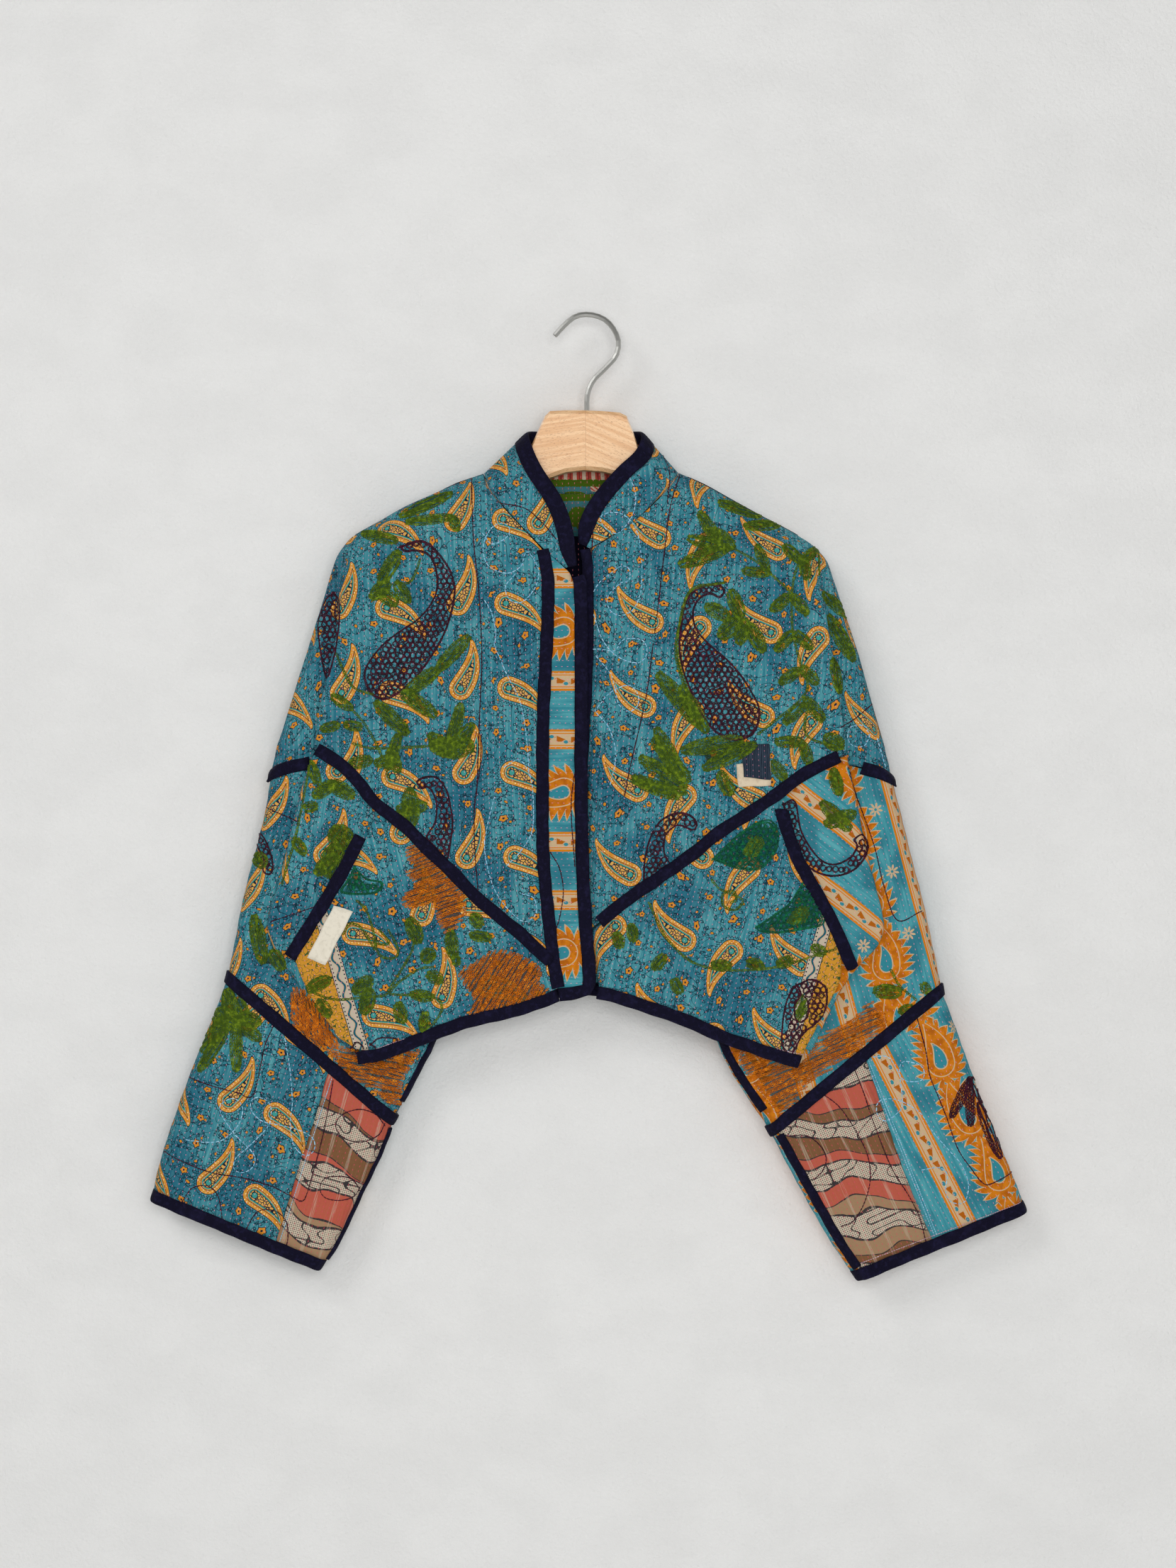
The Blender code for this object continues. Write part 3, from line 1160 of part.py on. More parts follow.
def hanger(mats):
    """Build the wooden hanger with its bored top and the wire hook."""
    rings = []
    table = HANGER_LEFT[::-1] + HANGER_RIGHT[1:]
    for k, (x, top, bottom) in enumerate(table):
        end = min(k, len(table) - 1 - k)
        half = HANGER_HALF * (0.72 if end == 0 else 0.92 if end == 1 else 1.0)
        cut = 3.2 / UNIT_MM
        y0, y1 = top, bottom
        prof = [(-half, y0 + cut), (-half + 3.6, y0), (half - 3.6, y0), (half, y0 + cut),
                (half, y1 - cut), (half - 3.2, y1), (-half + 3.2, y1), (-half, y1 - cut)]
        rings.append([((x - ZERO_X) * UNIT, d * MM, -(y - ZERO_Y) * UNIT) for d, y in prof])
    verts = [v for ring in rings for v in ring]
    body = ring_mesh("hanger_body", verts, len(rings[0]), len(rings), mats["beech_wood"])
    bore = bmesh.new()
    bmesh.ops.create_cone(bore, cap_ends=True, segments=16, radius1=0.0027, radius2=0.0027,
                          depth=0.044)
    mesh = bpy.data.meshes.new("bore")
    bore.to_mesh(mesh)
    bore.free()
    cutter = bpy.data.objects.new("bore", mesh)
    cutter.location = ((828 - ZERO_X) * UNIT, 0.0, -(580 - ZERO_Y) * UNIT)
    bpy.context.scene.collection.objects.link(cutter)
    mod = body.modifiers.new("bore", "BOOLEAN")
    mod.operation = "DIFFERENCE"
    mod.object = cutter
    mod.solver = "EXACT"
    bpy.context.view_layer.update()
    deps = bpy.context.evaluated_depsgraph_get()
    made = bpy.data.meshes.new_from_object(body.evaluated_get(deps))
    body.modifiers.clear()
    body.data = made
    bpy.data.objects.remove(cutter, do_unlink=True)

    path = smooth_path(HOOK, 30)
    here = np.stack([(path[:, 0] - ZERO_X) * UNIT, np.zeros(len(path)),
                     -(path[:, 1] - ZERO_Y) * UNIT], axis=1)
    t = tangents(here)
    centres = np.vstack([here[0] - t[0] * 0.0007, here])
    tang = np.vstack([t[:1], t])
    out = np.array([0.0, 1.0, 0.0])
    sides = 8
    verts = []
    for k in range(len(centres)):
        r = HOOK_RADIUS * MM * (0.72 if k == 0 else 1.0)
        side = np.cross(tang[k], out)
        for i in range(sides):
            a = 2 * math.pi * i / sides
            verts.append(centres[k] + side * (r * math.cos(a)) + out * (r * math.sin(a)))
    ring_mesh("hanger_hook", verts, sides, len(centres), mats["steel_wire"])


def main():
    """Build the whole object."""
    clear_scene()
    mats = make_materials()
    teal = mats["teal_print"]
    navy = mats["navy_binding"]
    (right, right_n), (left, left_n), (back, back_n), back_cols = yoke_grids()
    yoke_r = wall("front_yoke_right", right, teal, normals=right_n)
    yoke_l = wall("front_yoke_left", left, teal, normals=left_n)
    yoke_b = wall("back_yoke", back, teal, normals=back_n)
    pocket_r = pocket_grid("right")
    pocket_l = pocket_grid("left")
    lower_r = wall("pocket_panel_right", pocket_r, teal)
    lower_l = wall("pocket_panel_left", pocket_l, teal)
    side_r = side_panel("right", teal)
    side_l = side_panel("left", mats["flame_print"])
    lower_b, back_grid = back_lower(teal)
    collar(mats, right, left, back, back_cols)
    placket(mats, right, pocket_r, left, [yoke_r, lower_r])
    seam_strip("yoke_binding_right", [(764, 1340)] + SEAM_LEFT[1:-1] + [(450, 1057)], 18,
               front_depth, -1, [yoke_r, lower_r, side_r], navy)
    seam_strip("yoke_binding_left", SEAM_RIGHT[1:-1] + [(1181, 1067)], 18, front_depth, -1,
               [yoke_l, lower_l, side_l], navy)
    seam_strip("back_seam_binding", [(452, 1058)] + BACK_SEAM[1:-1] + [(1186, 1064)], 26,
               back_depth, 1, [yoke_b, lower_b], navy)
    mouth = slice(1, 7)
    edge_bar("pocket_binding_right", pocket_r[mouth, 0], pocket_r[mouth, 1], navy,
             thick=MOUTH_THICK, steep=0.5)
    edge_bar("pocket_binding_left", pocket_l[mouth, 0], pocket_l[mouth, 1], navy,
             thick=MOUTH_THICK, steep=0.5)
    hem, above = pocket_r[-1].copy(), pocket_r[-2].copy()
    for row in (hem, above):
        row[-1] = row[-2] + (row[-1] - row[-2]) * HEM_REACH
    edge_bar("hem_binding_right", hem, above, navy)
    edge_bar("hem_binding_left", pocket_l[-1], pocket_l[-2], navy)
    edge_bar("hem_binding_back", back_grid[-1, 11:-11], back_grid[-2, 11:-11], navy)
    for side in ("right", "left"):
        sleeve(side, mats)
        shoulder_binding(side, navy)
    patch("repair_patch_cream", [(1037, 1078), (1085, 1074), (1085, 1108), (1040, 1110)],
          [yoke_l], 0.35, mats["label_cream"])
    patch("repair_patch_dark", [(1043, 1050), (1083, 1050), (1085, 1100), (1048, 1096)],
          [yoke_l], 1.9, navy)
    patch("label_tab", [(474, 1276), (501, 1284), (462, 1359), (437, 1349)], [lower_r], 0.35,
          mats["label_cream"])
    hanger(mats)


main()
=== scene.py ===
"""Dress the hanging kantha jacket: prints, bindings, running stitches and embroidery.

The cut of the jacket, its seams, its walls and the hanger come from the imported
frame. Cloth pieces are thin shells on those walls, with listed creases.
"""

from __future__ import annotations

import json
import logging
import math
from collections.abc import Sequence
from dataclasses import dataclass
from enum import Enum

import bmesh
import bpy
import numpy as np
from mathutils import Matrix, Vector
from mathutils.bvhtree import BVHTree

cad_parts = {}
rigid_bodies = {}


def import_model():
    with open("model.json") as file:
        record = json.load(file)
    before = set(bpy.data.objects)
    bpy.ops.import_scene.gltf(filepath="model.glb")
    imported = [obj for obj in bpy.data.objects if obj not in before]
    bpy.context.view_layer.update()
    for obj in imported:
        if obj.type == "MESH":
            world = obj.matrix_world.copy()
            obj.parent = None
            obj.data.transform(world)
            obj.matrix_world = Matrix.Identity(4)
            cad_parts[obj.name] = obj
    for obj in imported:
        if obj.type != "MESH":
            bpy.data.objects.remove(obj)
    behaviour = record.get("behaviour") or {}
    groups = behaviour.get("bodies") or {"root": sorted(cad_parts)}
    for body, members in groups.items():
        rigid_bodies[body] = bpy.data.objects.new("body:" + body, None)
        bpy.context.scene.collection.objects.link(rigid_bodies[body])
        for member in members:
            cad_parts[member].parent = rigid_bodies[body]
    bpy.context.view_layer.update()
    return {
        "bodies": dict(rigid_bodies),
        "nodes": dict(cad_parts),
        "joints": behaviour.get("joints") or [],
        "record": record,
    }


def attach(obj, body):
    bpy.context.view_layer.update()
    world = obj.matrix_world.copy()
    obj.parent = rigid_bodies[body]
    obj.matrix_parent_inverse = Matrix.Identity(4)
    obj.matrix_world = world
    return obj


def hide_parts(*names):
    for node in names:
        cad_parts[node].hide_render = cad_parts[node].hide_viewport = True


log = logging.getLogger("jacket")

UNIT = 0.0006
ZERO = np.array([824.0, 447.5])
UV_NAME = "cloth"
# Point attribute of where close stitches lie: the print there gets a dark thread tone and painted shade.
THREAD_NAME = "thread"
BORDER_NAME = "border"


def tint(red: int, green: int, blue: int) -> tuple[float, float, float, float]:
    """Turn a screen colour of 0 to 255 into the linear colour that a node takes.

    Args:
        red: Red on screen.
        green: Green on screen.
        blue: Blue on screen.

    Returns:
        The linear colour with full opacity.
    """
    parts = [c / 255.0 for c in (red, green, blue)]
    linear = [c / 12.92 if c <= 0.04045 else ((c + 0.055) / 1.055) ** 2.4 for c in parts]
    return (linear[0], linear[1], linear[2], 1.0)


class Num:
    """A number that varies over a surface; arithmetic on it adds Math nodes."""

    def __init__(self, graph: Graph, socket: bpy.types.NodeSocket) -> None:
        """Wrap an output socket of a graph's tree."""
        self.graph = graph
        self.socket = socket

    def do(self, operation: str, *others: Num | float) -> Num:
        """Apply one Math operation with this number first.

        Args:
            operation: The Math node's operation.
            others: The remaining operands.

        Returns:
            The result as a number.
        """
        return self.graph.math(operation, self, *others)

    def __add__(self, other: Num | float) -> Num:
        """Add."""
        return self.do("ADD", other)

    __radd__ = __add__

    def __sub__(self, other: Num | float) -> Num:
        """Subtract."""
        return self.do("SUBTRACT", other)

    def __rsub__(self, other: float) -> Num:
        """Subtract from a plain value."""
        return self.graph.math("SUBTRACT", other, self)

    def __mul__(self, other: Num | float) -> Num:
        """Multiply."""
        return self.do("MULTIPLY", other)

    __rmul__ = __mul__

    def __truediv__(self, other: Num | float) -> Num:
        """Divide."""
        return self.do("DIVIDE", other)

    def __abs__(self) -> Num:
        """Absolute value."""
        return self.do("ABSOLUTE")

    def __lt__(self, other: Num | float) -> Num:
        """1 where this is less."""
        return self.do("LESS_THAN", other)

    def __gt__(self, other: Num | float) -> Num:
        """1 where this is greater."""
        return self.do("GREATER_THAN", other)

    def floor(self) -> Num:
        """Round down."""
        return self.do("FLOOR")

    def fract(self) -> Num:
        """Keep what is after the point."""
        return self.do("FRACT")

    def sin(self) -> Num:
        """Sine of an angle in radians."""
        return self.do("SINE")

    def least(self, other: Num | float) -> Num:
        """Take the smaller."""
        return self.do("MINIMUM", other)

    def most(self, other: Num | float) -> Num:
        """Take the larger."""
        return self.do("MAXIMUM", other)

    def turn(self, other: Num | float) -> Num:
        """Angle of the point (other, self) in radians."""
        return self.do("ARCTAN2", other)

    def span(self, other: Num) -> Num:
        """Length of the slope whose legs are this and another."""
        return (self * self + other * other).do("SQRT")

    def near(self, value: float, reach: float) -> Num:
        """1 within a reach of a value."""
        return self.do("COMPARE", value, reach)

    def odd(self) -> Num:
        """1 where a whole number is odd, 0 where it is even."""
        return self.do("FLOORED_MODULO", 2.0)

    def ramp(self, low: float, high: float) -> Num:
        """Rise smoothly from 0 at low to 1 at high.

        Args:
            low: Where it is 0.
            high: Where it is 1.

        Returns:
            The eased number.
        """
        node = self.graph.add(
            "ShaderNodeMapRange",
            {"interpolation_type": "SMOOTHSTEP"},
            {"Value": self, "From Min": low, "From Max": high},
        )
        return self.graph.out(node, "Result")


class Graph:
    """The node tree of one material."""

    def __init__(self, name: str) -> None:
        """Start an empty material."""
        self.material = bpy.data.materials.new(name)
        self.material.use_nodes = True
        self.tree = self.material.node_tree
        self.tree.nodes.clear()

    def add(self, kind: str, settings: dict | None = None, inputs: dict | None = None) -> bpy.types.Node:
        """Add a node, with its settings first and then its sockets.

        Args:
            kind: The node's type.
            settings: Its properties.
            inputs: Values or links by socket identifier, name or index.

        Returns:
            The new node.
        """
        node = self.tree.nodes.new(kind)
        for key, value in (settings or {}).items():
            setattr(node, key, value)
        for key, value in (inputs or {}).items():
            self.feed(self.find(node.inputs, key), value)
        return node

    @staticmethod
    def find(sockets: bpy.types.bpy_prop_collection, key: str | int) -> bpy.types.NodeSocket:
        """Find a socket by identifier, else by name or index."""
        for socket in sockets:
            if socket.identifier == key:
                return socket
        return sockets[key]

    def feed(self, socket: bpy.types.NodeSocket, value: object) -> None:
        """Link a socket to another, or set its value."""
        if isinstance(value, Num):
            value = value.socket
        if isinstance(value, bpy.types.NodeSocket):
            self.tree.links.new(value, socket)
        else:
            socket.default_value = value

    def out(self, node: bpy.types.Node, key: str | int = 0) -> Num:
        """Wrap a node's output as a number."""
        return Num(self, self.find(node.outputs, key))

    def math(self, operation: str, *values: Num | float) -> Num:
        """Add one Math node."""
        inputs = dict(enumerate(values))
        return self.out(self.add("ShaderNodeMath", {"operation": operation}, inputs))

    def pick(self, mask: Num, low: Num | float, high: Num | float) -> Num:
        """Blend two numbers by a mask.

        Args:
            mask: 0 to 1.
            low: The number where the mask is 0.
            high: The number where the mask is 1.

        Returns:
            The blended number.
        """
        inputs = {"Factor_Float": mask, "A_Float": low, "B_Float": high}
        return self.out(self.add("ShaderNodeMix", {"data_type": "FLOAT"}, inputs), "Result_Float")

    def blend(self, mask: Num | float, below: object, above: object) -> bpy.types.NodeSocket:
        """Lay one colour over another by a mask.

        Args:
            mask: 0 to 1.
            below: The colour where the mask is 0.
            above: The colour where the mask is 1.

        Returns:
            The colour's socket.
        """
        inputs = {"Factor_Float": mask, "A_Color": below, "B_Color": above}
        node = self.add("ShaderNodeMix", {"data_type": "RGBA", "blend_type": "MIX"}, inputs)
        return self.find(node.outputs, "Result_Color")

    def cloth_place(self) -> tuple[Num, Num]:
        """Give the place on the cloth's own map in mm, as across and up."""
        uv = self.add("ShaderNodeUVMap", {"uv_map": UV_NAME})
        parts = self.add("ShaderNodeSeparateXYZ", None, {0: uv.outputs[0]})
        return self.out(parts, 0) * 1000.0, self.out(parts, 1) * 1000.0

    def solid_place(self) -> tuple[Num, Num, Num]:
        """Give the place in the object in mm."""
        place = self.add("ShaderNodeTexCoord")
        parts = self.add("ShaderNodeSeparateXYZ", None, {0: self.find(place.outputs, "Object")})
        return self.out(parts, 0) * 1000.0, self.out(parts, 1) * 1000.0, self.out(parts, 2) * 1000.0

    def point(self, *parts: Num | float) -> bpy.types.NodeSocket:
        """Join numbers into a point."""
        return self.add("ShaderNodeCombineXYZ", None, dict(enumerate(parts))).outputs[0]

    def noise(self, point: bpy.types.NodeSocket, detail: float = 2.0, rough: float = 0.5) -> Num:
        """Add soft noise of about one blob a unit, from 0 to 1."""
        inputs = {"Vector": point, "Scale": 1.0, "Detail": detail, "Roughness": rough}
        return self.out(self.add("ShaderNodeTexNoise", None, inputs), 0)

    def woven(self, colour: object, relief: Num) -> bpy.types.Material:
        """End the tree as matt quilted cotton."""
        return self.surface(colour, 0.93, relief, 0.8, Specular_IOR_Level=0.15)

    def cells(self, point: bpy.types.NodeSocket, feature: str = "F1", loose: float = 1.0) -> Num:
        """Add cell noise of about one cell a unit, and give its distance.

        Args:
            point: Where to read it.
            feature: The kind of distance.
            loose: How unevenly the cells are placed, 0 to 1.

        Returns:
            The distance.
        """
        inputs = {"Vector": point, "Scale": 1.0, "Randomness": loose}
        return self.out(self.add("ShaderNodeTexVoronoi", {"feature": feature}, inputs), "Distance")

    def surface(self, colour: object, roughness: Num | float, height: Num | None = None,
                deep: float = 1.0, **plain: float) -> bpy.types.Material:
        """End the tree in a Principled shader.

        Args:
            colour: Its base colour.
            roughness: Its roughness.
            height: Relief in mm, where it has one.
            deep: How strongly the relief shows.
            plain: Values for other sockets, the same all over.

        Returns:
            The finished material.
        """
        inputs: dict = {"Base Color": colour, "Roughness": roughness}
        inputs.update({key.replace("_", " "): value for key, value in plain.items()})
        if height is not None:
            relief = {"Height": height, "Distance": 0.001, "Strength": deep}
            inputs["Normal"] = self.add("ShaderNodeBump", None, relief).outputs[0]
        shader = self.add("ShaderNodeBsdfPrincipled", None, inputs)
        self.add("ShaderNodeOutputMaterial", None, {"Surface": shader.outputs[0]})
        return self.material


@dataclass(frozen=True)
class QuiltRows:
    """Rows of kantha running stitch over a print, and the puckers they make."""

    spacing: float = 5.0
    pitch: float = 4.2
    dash: float = 0.28
    thread: tuple = tint(222, 136, 164)

    def lay(self, g: Graph, u: Num, v: Num, colour: object) -> tuple[object, Num]:
        """Stitch over a print.

        Args:
            g: The material's graph.
            u: Across the cloth in mm.
            v: Along the rows in mm.
            colour: The print's colour.

        Returns:
            The stitched colour and the relief in mm.
        """
        sway = g.noise(g.point(u / 40.0, v / 40.0)) * 2.6
        across = (u + sway) / self.spacing
        row = across.floor()
        beside = abs(across - row - 0.5) * self.spacing
        shift = (row * 12.9898).sin() * 43.7
        along = (v / self.pitch + shift).fract()
        seen = (along < self.dash) * (beside < 0.22)
        stitched = g.blend(seen * 0.85, colour, self.thread)
        pull = 1.0 - (beside / (self.spacing * 0.5)).ramp(0.0, 0.9)
        crimp = g.noise(g.point(u / 4.2, v / 1.7), 2.0)
        swell = g.noise(g.point(u / 9.0, v / 6.0), 1.0)
        yarn = g.noise(g.point(u * 1.6, v * 2.4), 2.0, 0.6)
        relief = crimp * 0.55 - pull * 0.30 + swell * 0.5 + yarn * 0.10
        return stitched, relief


@dataclass(frozen=True)
class Motif:
    """A paisley: a round head that tapers to a blunt, bent tail."""

    head: float
    length: float
    bend: float
    tip: float = 0.6

    def reach(self, g: Graph, x: Num, y: Num) -> tuple[Num, Num, Num]:
        """Measure from its edge.

        Args:
            g: The material's graph.
            x: Across its axis in mm, from the head's centre.
            y: Along its axis towards the tail in mm.

        Returns:
            The distance outside its edge, the distance from the head's centre, and the
            way run round its edge.
        """
        tail = y.most(0.0)
        side = abs(x - tail * tail * tail * self.bend)
        radius = side.span(y)
        past = y - self.length
        end = side.span(past)
        share = (tail / self.length).least(1.0).do("POWER", 1.9)
        body = (side - self.head + share * (self.head - self.tip)) * 0.95
        outside = g.pick(y < 0.0, body, radius - self.head)
        outside = g.pick(past > 0.0, outside, end - self.tip)
        run = g.pick(y < 0.0, y, y.turn(side) * (self.head + 2.0))
        return outside, radius, run


# Dark tones of the green, mustard and forest threads: their colour under close stitches, and painted shade in
# the gaps.
THREAD_TONES_AND_SHADE = (tint(32, 46, 6), tint(74, 44, 10), tint(0, 52, 40))


def thread_tone_and_shade_under(g: Graph, colour: object) -> object:
    """Darken a print where stitches lie close: a dark tone of the thread, with painted shade between the
    stitches.
    """
    held = g.add("ShaderNodeAttribute", {"attribute_name": THREAD_NAME})
    parts = g.add("ShaderNodeSeparateXYZ", None, {0: g.find(held.outputs, "Vector")})
    u, v = g.cloth_place()
    gaps = g.noise(g.point(u / 1.1, v / 1.1), 2.0)
    # Each dye here is a dark thread tone that also paints the shade between the stitches.
    for k, dye in enumerate(THREAD_TONES_AND_SHADE):
        colour = g.blend((g.out(parts, k) * (gaps + 0.40)).ramp(0.45, 0.9) * 0.8, colour, dye)
    return colour


@dataclass(frozen=True)
class TealPrint:
    """Block print of mustard paisleys, dark vines and small flowers on teal."""

    name: str = "teal_block_print"
    rows: QuiltRows = QuiltRows()
    motif: Motif = Motif(10.0, 37.0, 0.00022, 3.0)
    pair: float = 100.0
    first: float = 56.0
    repeat: float = 71.0
    teal: tuple = tint(44, 118, 134)
    pale: tuple = tint(94, 160, 166)
    deep: tuple = tint(24, 88, 112)
    ink: tuple = tint(12, 34, 50)
    mustard: tuple = tint(200, 130, 38)
    band: tuple = tint(208, 158, 78)
    cream: tuple = tint(236, 208, 154)
    green: tuple = tint(58, 146, 138)

    def ground(self, g: Graph, u: Num, v: Num) -> object:
        """Dye the uneven teal ground with its upright bars."""
        bars = g.noise(g.point(u / 2.4, v / 38.0), 3.0, 0.65)
        slubs = g.noise(g.point(u / 0.9, v / 9.0), 2.0)
        patches = g.noise(g.point(u / 55.0, v / 70.0), 2.0)
        colour = g.blend(bars.ramp(0.36, 0.74), self.teal, self.pale)
        colour = g.blend(patches.ramp(0.44, 0.64) * 0.75, colour, self.deep)
        return g.blend(slubs.ramp(0.56, 0.72) * 0.30, colour, self.pale)

    @staticmethod
    def scroll(g: Graph, u: Num, v: Num, cell: tuple[float, float], size: float,
               leaves: float) -> tuple[Num, Num, Num]:
        """Scroll a leafy vine round every cell of a lattice.

        Args:
            g: The material's graph.
            u: Across in mm.
            v: Up in mm.
            cell: The lattice's cell in mm.
            size: The scroll's radius in mm.
            leaves: How many leaves are on it.

        Returns:
            A mask of its lines, and the distance and angle from the cell's centre.
        """
        across = u / cell[0]
        column = across.floor()
        x = (across - column - 0.5) * cell[0]
        y = ((v / cell[1] + column.odd() * 0.5).fract() - 0.5) * cell[1]
        radius = x.span(y)
        angle = y.turn(x)
        ring = radius - (angle * 2.0 + column * 2.1).sin() * size * 0.17 - size
        sector = angle * (leaves / math.tau)
        way = sector.floor().odd() * 2.0 - 1.0
        place = (sector.fract() - 0.5) * radius * (math.tau / leaves)
        off = ring - way * 1.5
        tall = (place + way * off) * (0.71 / 1.8)
        wide = (off - way * place) * (0.71 / 0.9)
        leaf = tall.span(wide)
        return (abs(ring) < 0.2).most(leaf.near(0.8, 0.24)), radius, angle

    def grow(self, g: Graph, u: Num, v: Num, clear: Num, colour: object) -> object:
        """Print vines, flowers and buds wherever it is clear of the paisleys."""
        sway = g.noise(g.point(u / 30.0, v / 30.0, 1.0), 0.0) * 14.0
        swing = g.noise(g.point(u / 30.0, v / 30.0, 6.0), 0.0) * 14.0
        a, b = u + sway, v + swing
        big, wide, turn = self.scroll(g, a, b, (25.0, 23.7), 7.4, 10.0)
        small, near, _ = self.scroll(g, a + 8.0, b + 9.0, (16.7, 17.8), 4.6, 6.0)
        strand = g.noise(g.point(a / 13.0, b / 13.0), 0.0).near(0.5, 0.007)
        colour = g.blend(big.most(small).most(strand) * clear * 0.92, colour, self.ink)
        petals = wide * (1.0 + (turn * 5.0).sin() * 0.14)
        bud = near * 1.5
        flower = petals.least(bud + 1.0)
        for edge, dye in ((3.1, self.ink), (2.5, self.mustard), (0.8, self.ink)):
            colour = g.blend((flower < edge) * clear, colour, dye)
        return colour

    def border(self, g: Graph, u: Num, v: Num, leaves: Num, colour: object) -> object:
        """Print the dotted cream strip and mustard ground along a panel's outer edge."""
        held = g.add("ShaderNodeAttribute", {"attribute_name": BORDER_NAME})
        past = g.out(held, "Fac")
        across = abs(past - 6.0)
        ground = g.blend(leaves, tint(196, 138, 44), tint(60, 84, 44))
        colour = g.blend(past > 12.0, colour, ground)
        colour = g.blend(across < 6.0, colour, self.ink)
        colour = g.blend(across < 5.4, colour, tint(186, 174, 154))
        spot = ((v / 3.4).fract() - 0.5) * 3.4
        side = across - 4.3
        colour = g.blend((spot * spot + side * side) < 0.42, colour, self.ink)
        curl = abs(past - 6.0 - (v / 2.6).sin() * 1.9)
        colour = g.blend(curl < 1.25, colour, self.mustard)
        colour = g.blend(curl < 0.95, colour, self.teal)
        return g.blend(curl < 0.3, colour, self.ink)

    def build(self) -> bpy.types.Material:
        """Make the material."""
        g = Graph(self.name)
        u, v = g.cloth_place()
        colour = self.ground(g, u, v)
        place = (u / self.pair).fract() * self.pair
        other = place > self.first
        x = place - 28.0 - other * 50.0
        y = (((v - 36.0 - other * 24.0) / self.repeat + 0.5).fract() - 0.5) * self.repeat
        hx, hy = x + 12.0 - other * 9.6, y - 8.0 + other * 23.0
        px = hx * (-0.358 - other * 0.471) + hy * (-0.934 + other * 1.493)
        py = hx * (0.934 - other * 0.375) + hy * (-0.358 + other * 1.187)
        outside, head, run = self.motif.reach(g, px, py)
        colour = self.grow(g, u, v, outside > 3.1, colour)
        teeth = abs((run / 2.4).fract() - 0.5) * 3.4
        colour = g.blend((outside - teeth).near(1.2, 0.42), colour, self.ink)
        wear = g.noise(g.point(u / 4.0, v / 4.0))
        dyed = g.blend(wear.ramp(0.35, 0.65) * 0.6, self.mustard, self.band)
        dots = g.cells(g.point(px / 2.5, py / 2.5, 2.0), loose=0.3) < 0.25
        dotted = g.blend(dots * 0.85, dyed, self.cream)
        net = g.cells(g.point(px / 3.0, py / 3.0, 5.0), "DISTANCE_TO_EDGE") < 0.10
        inner = g.blend(net, self.band, self.ink)
        for edge, dye in ((0.25, self.ink), (-0.35, dotted), (-3.2, self.ink), (-3.7, dyed),
                          (-4.4, self.green), (-5.4, self.ink), (-5.9, inner)):
            colour = g.blend(outside < edge, colour, dye)
        colour = g.blend(head < 2.8, colour, self.ink)
        colour = g.blend(head < 2.2, colour, self.green)
        leaves = g.noise(g.point(u / 5.0, v / 5.0), 1.0).near(0.5, 0.02)
        colour = self.border(g, u, v, leaves, colour)
        worn = g.noise(g.point(u / 1.3, v / 14.0), 3.0)
        colour = g.blend(worn.ramp(0.60, 0.78) * 0.30, colour, self.pale)
        colour, relief = self.rows.lay(g, u, v, colour)
        colour = thread_tone_and_shade_under(g, colour)
        return g.woven(colour, relief)


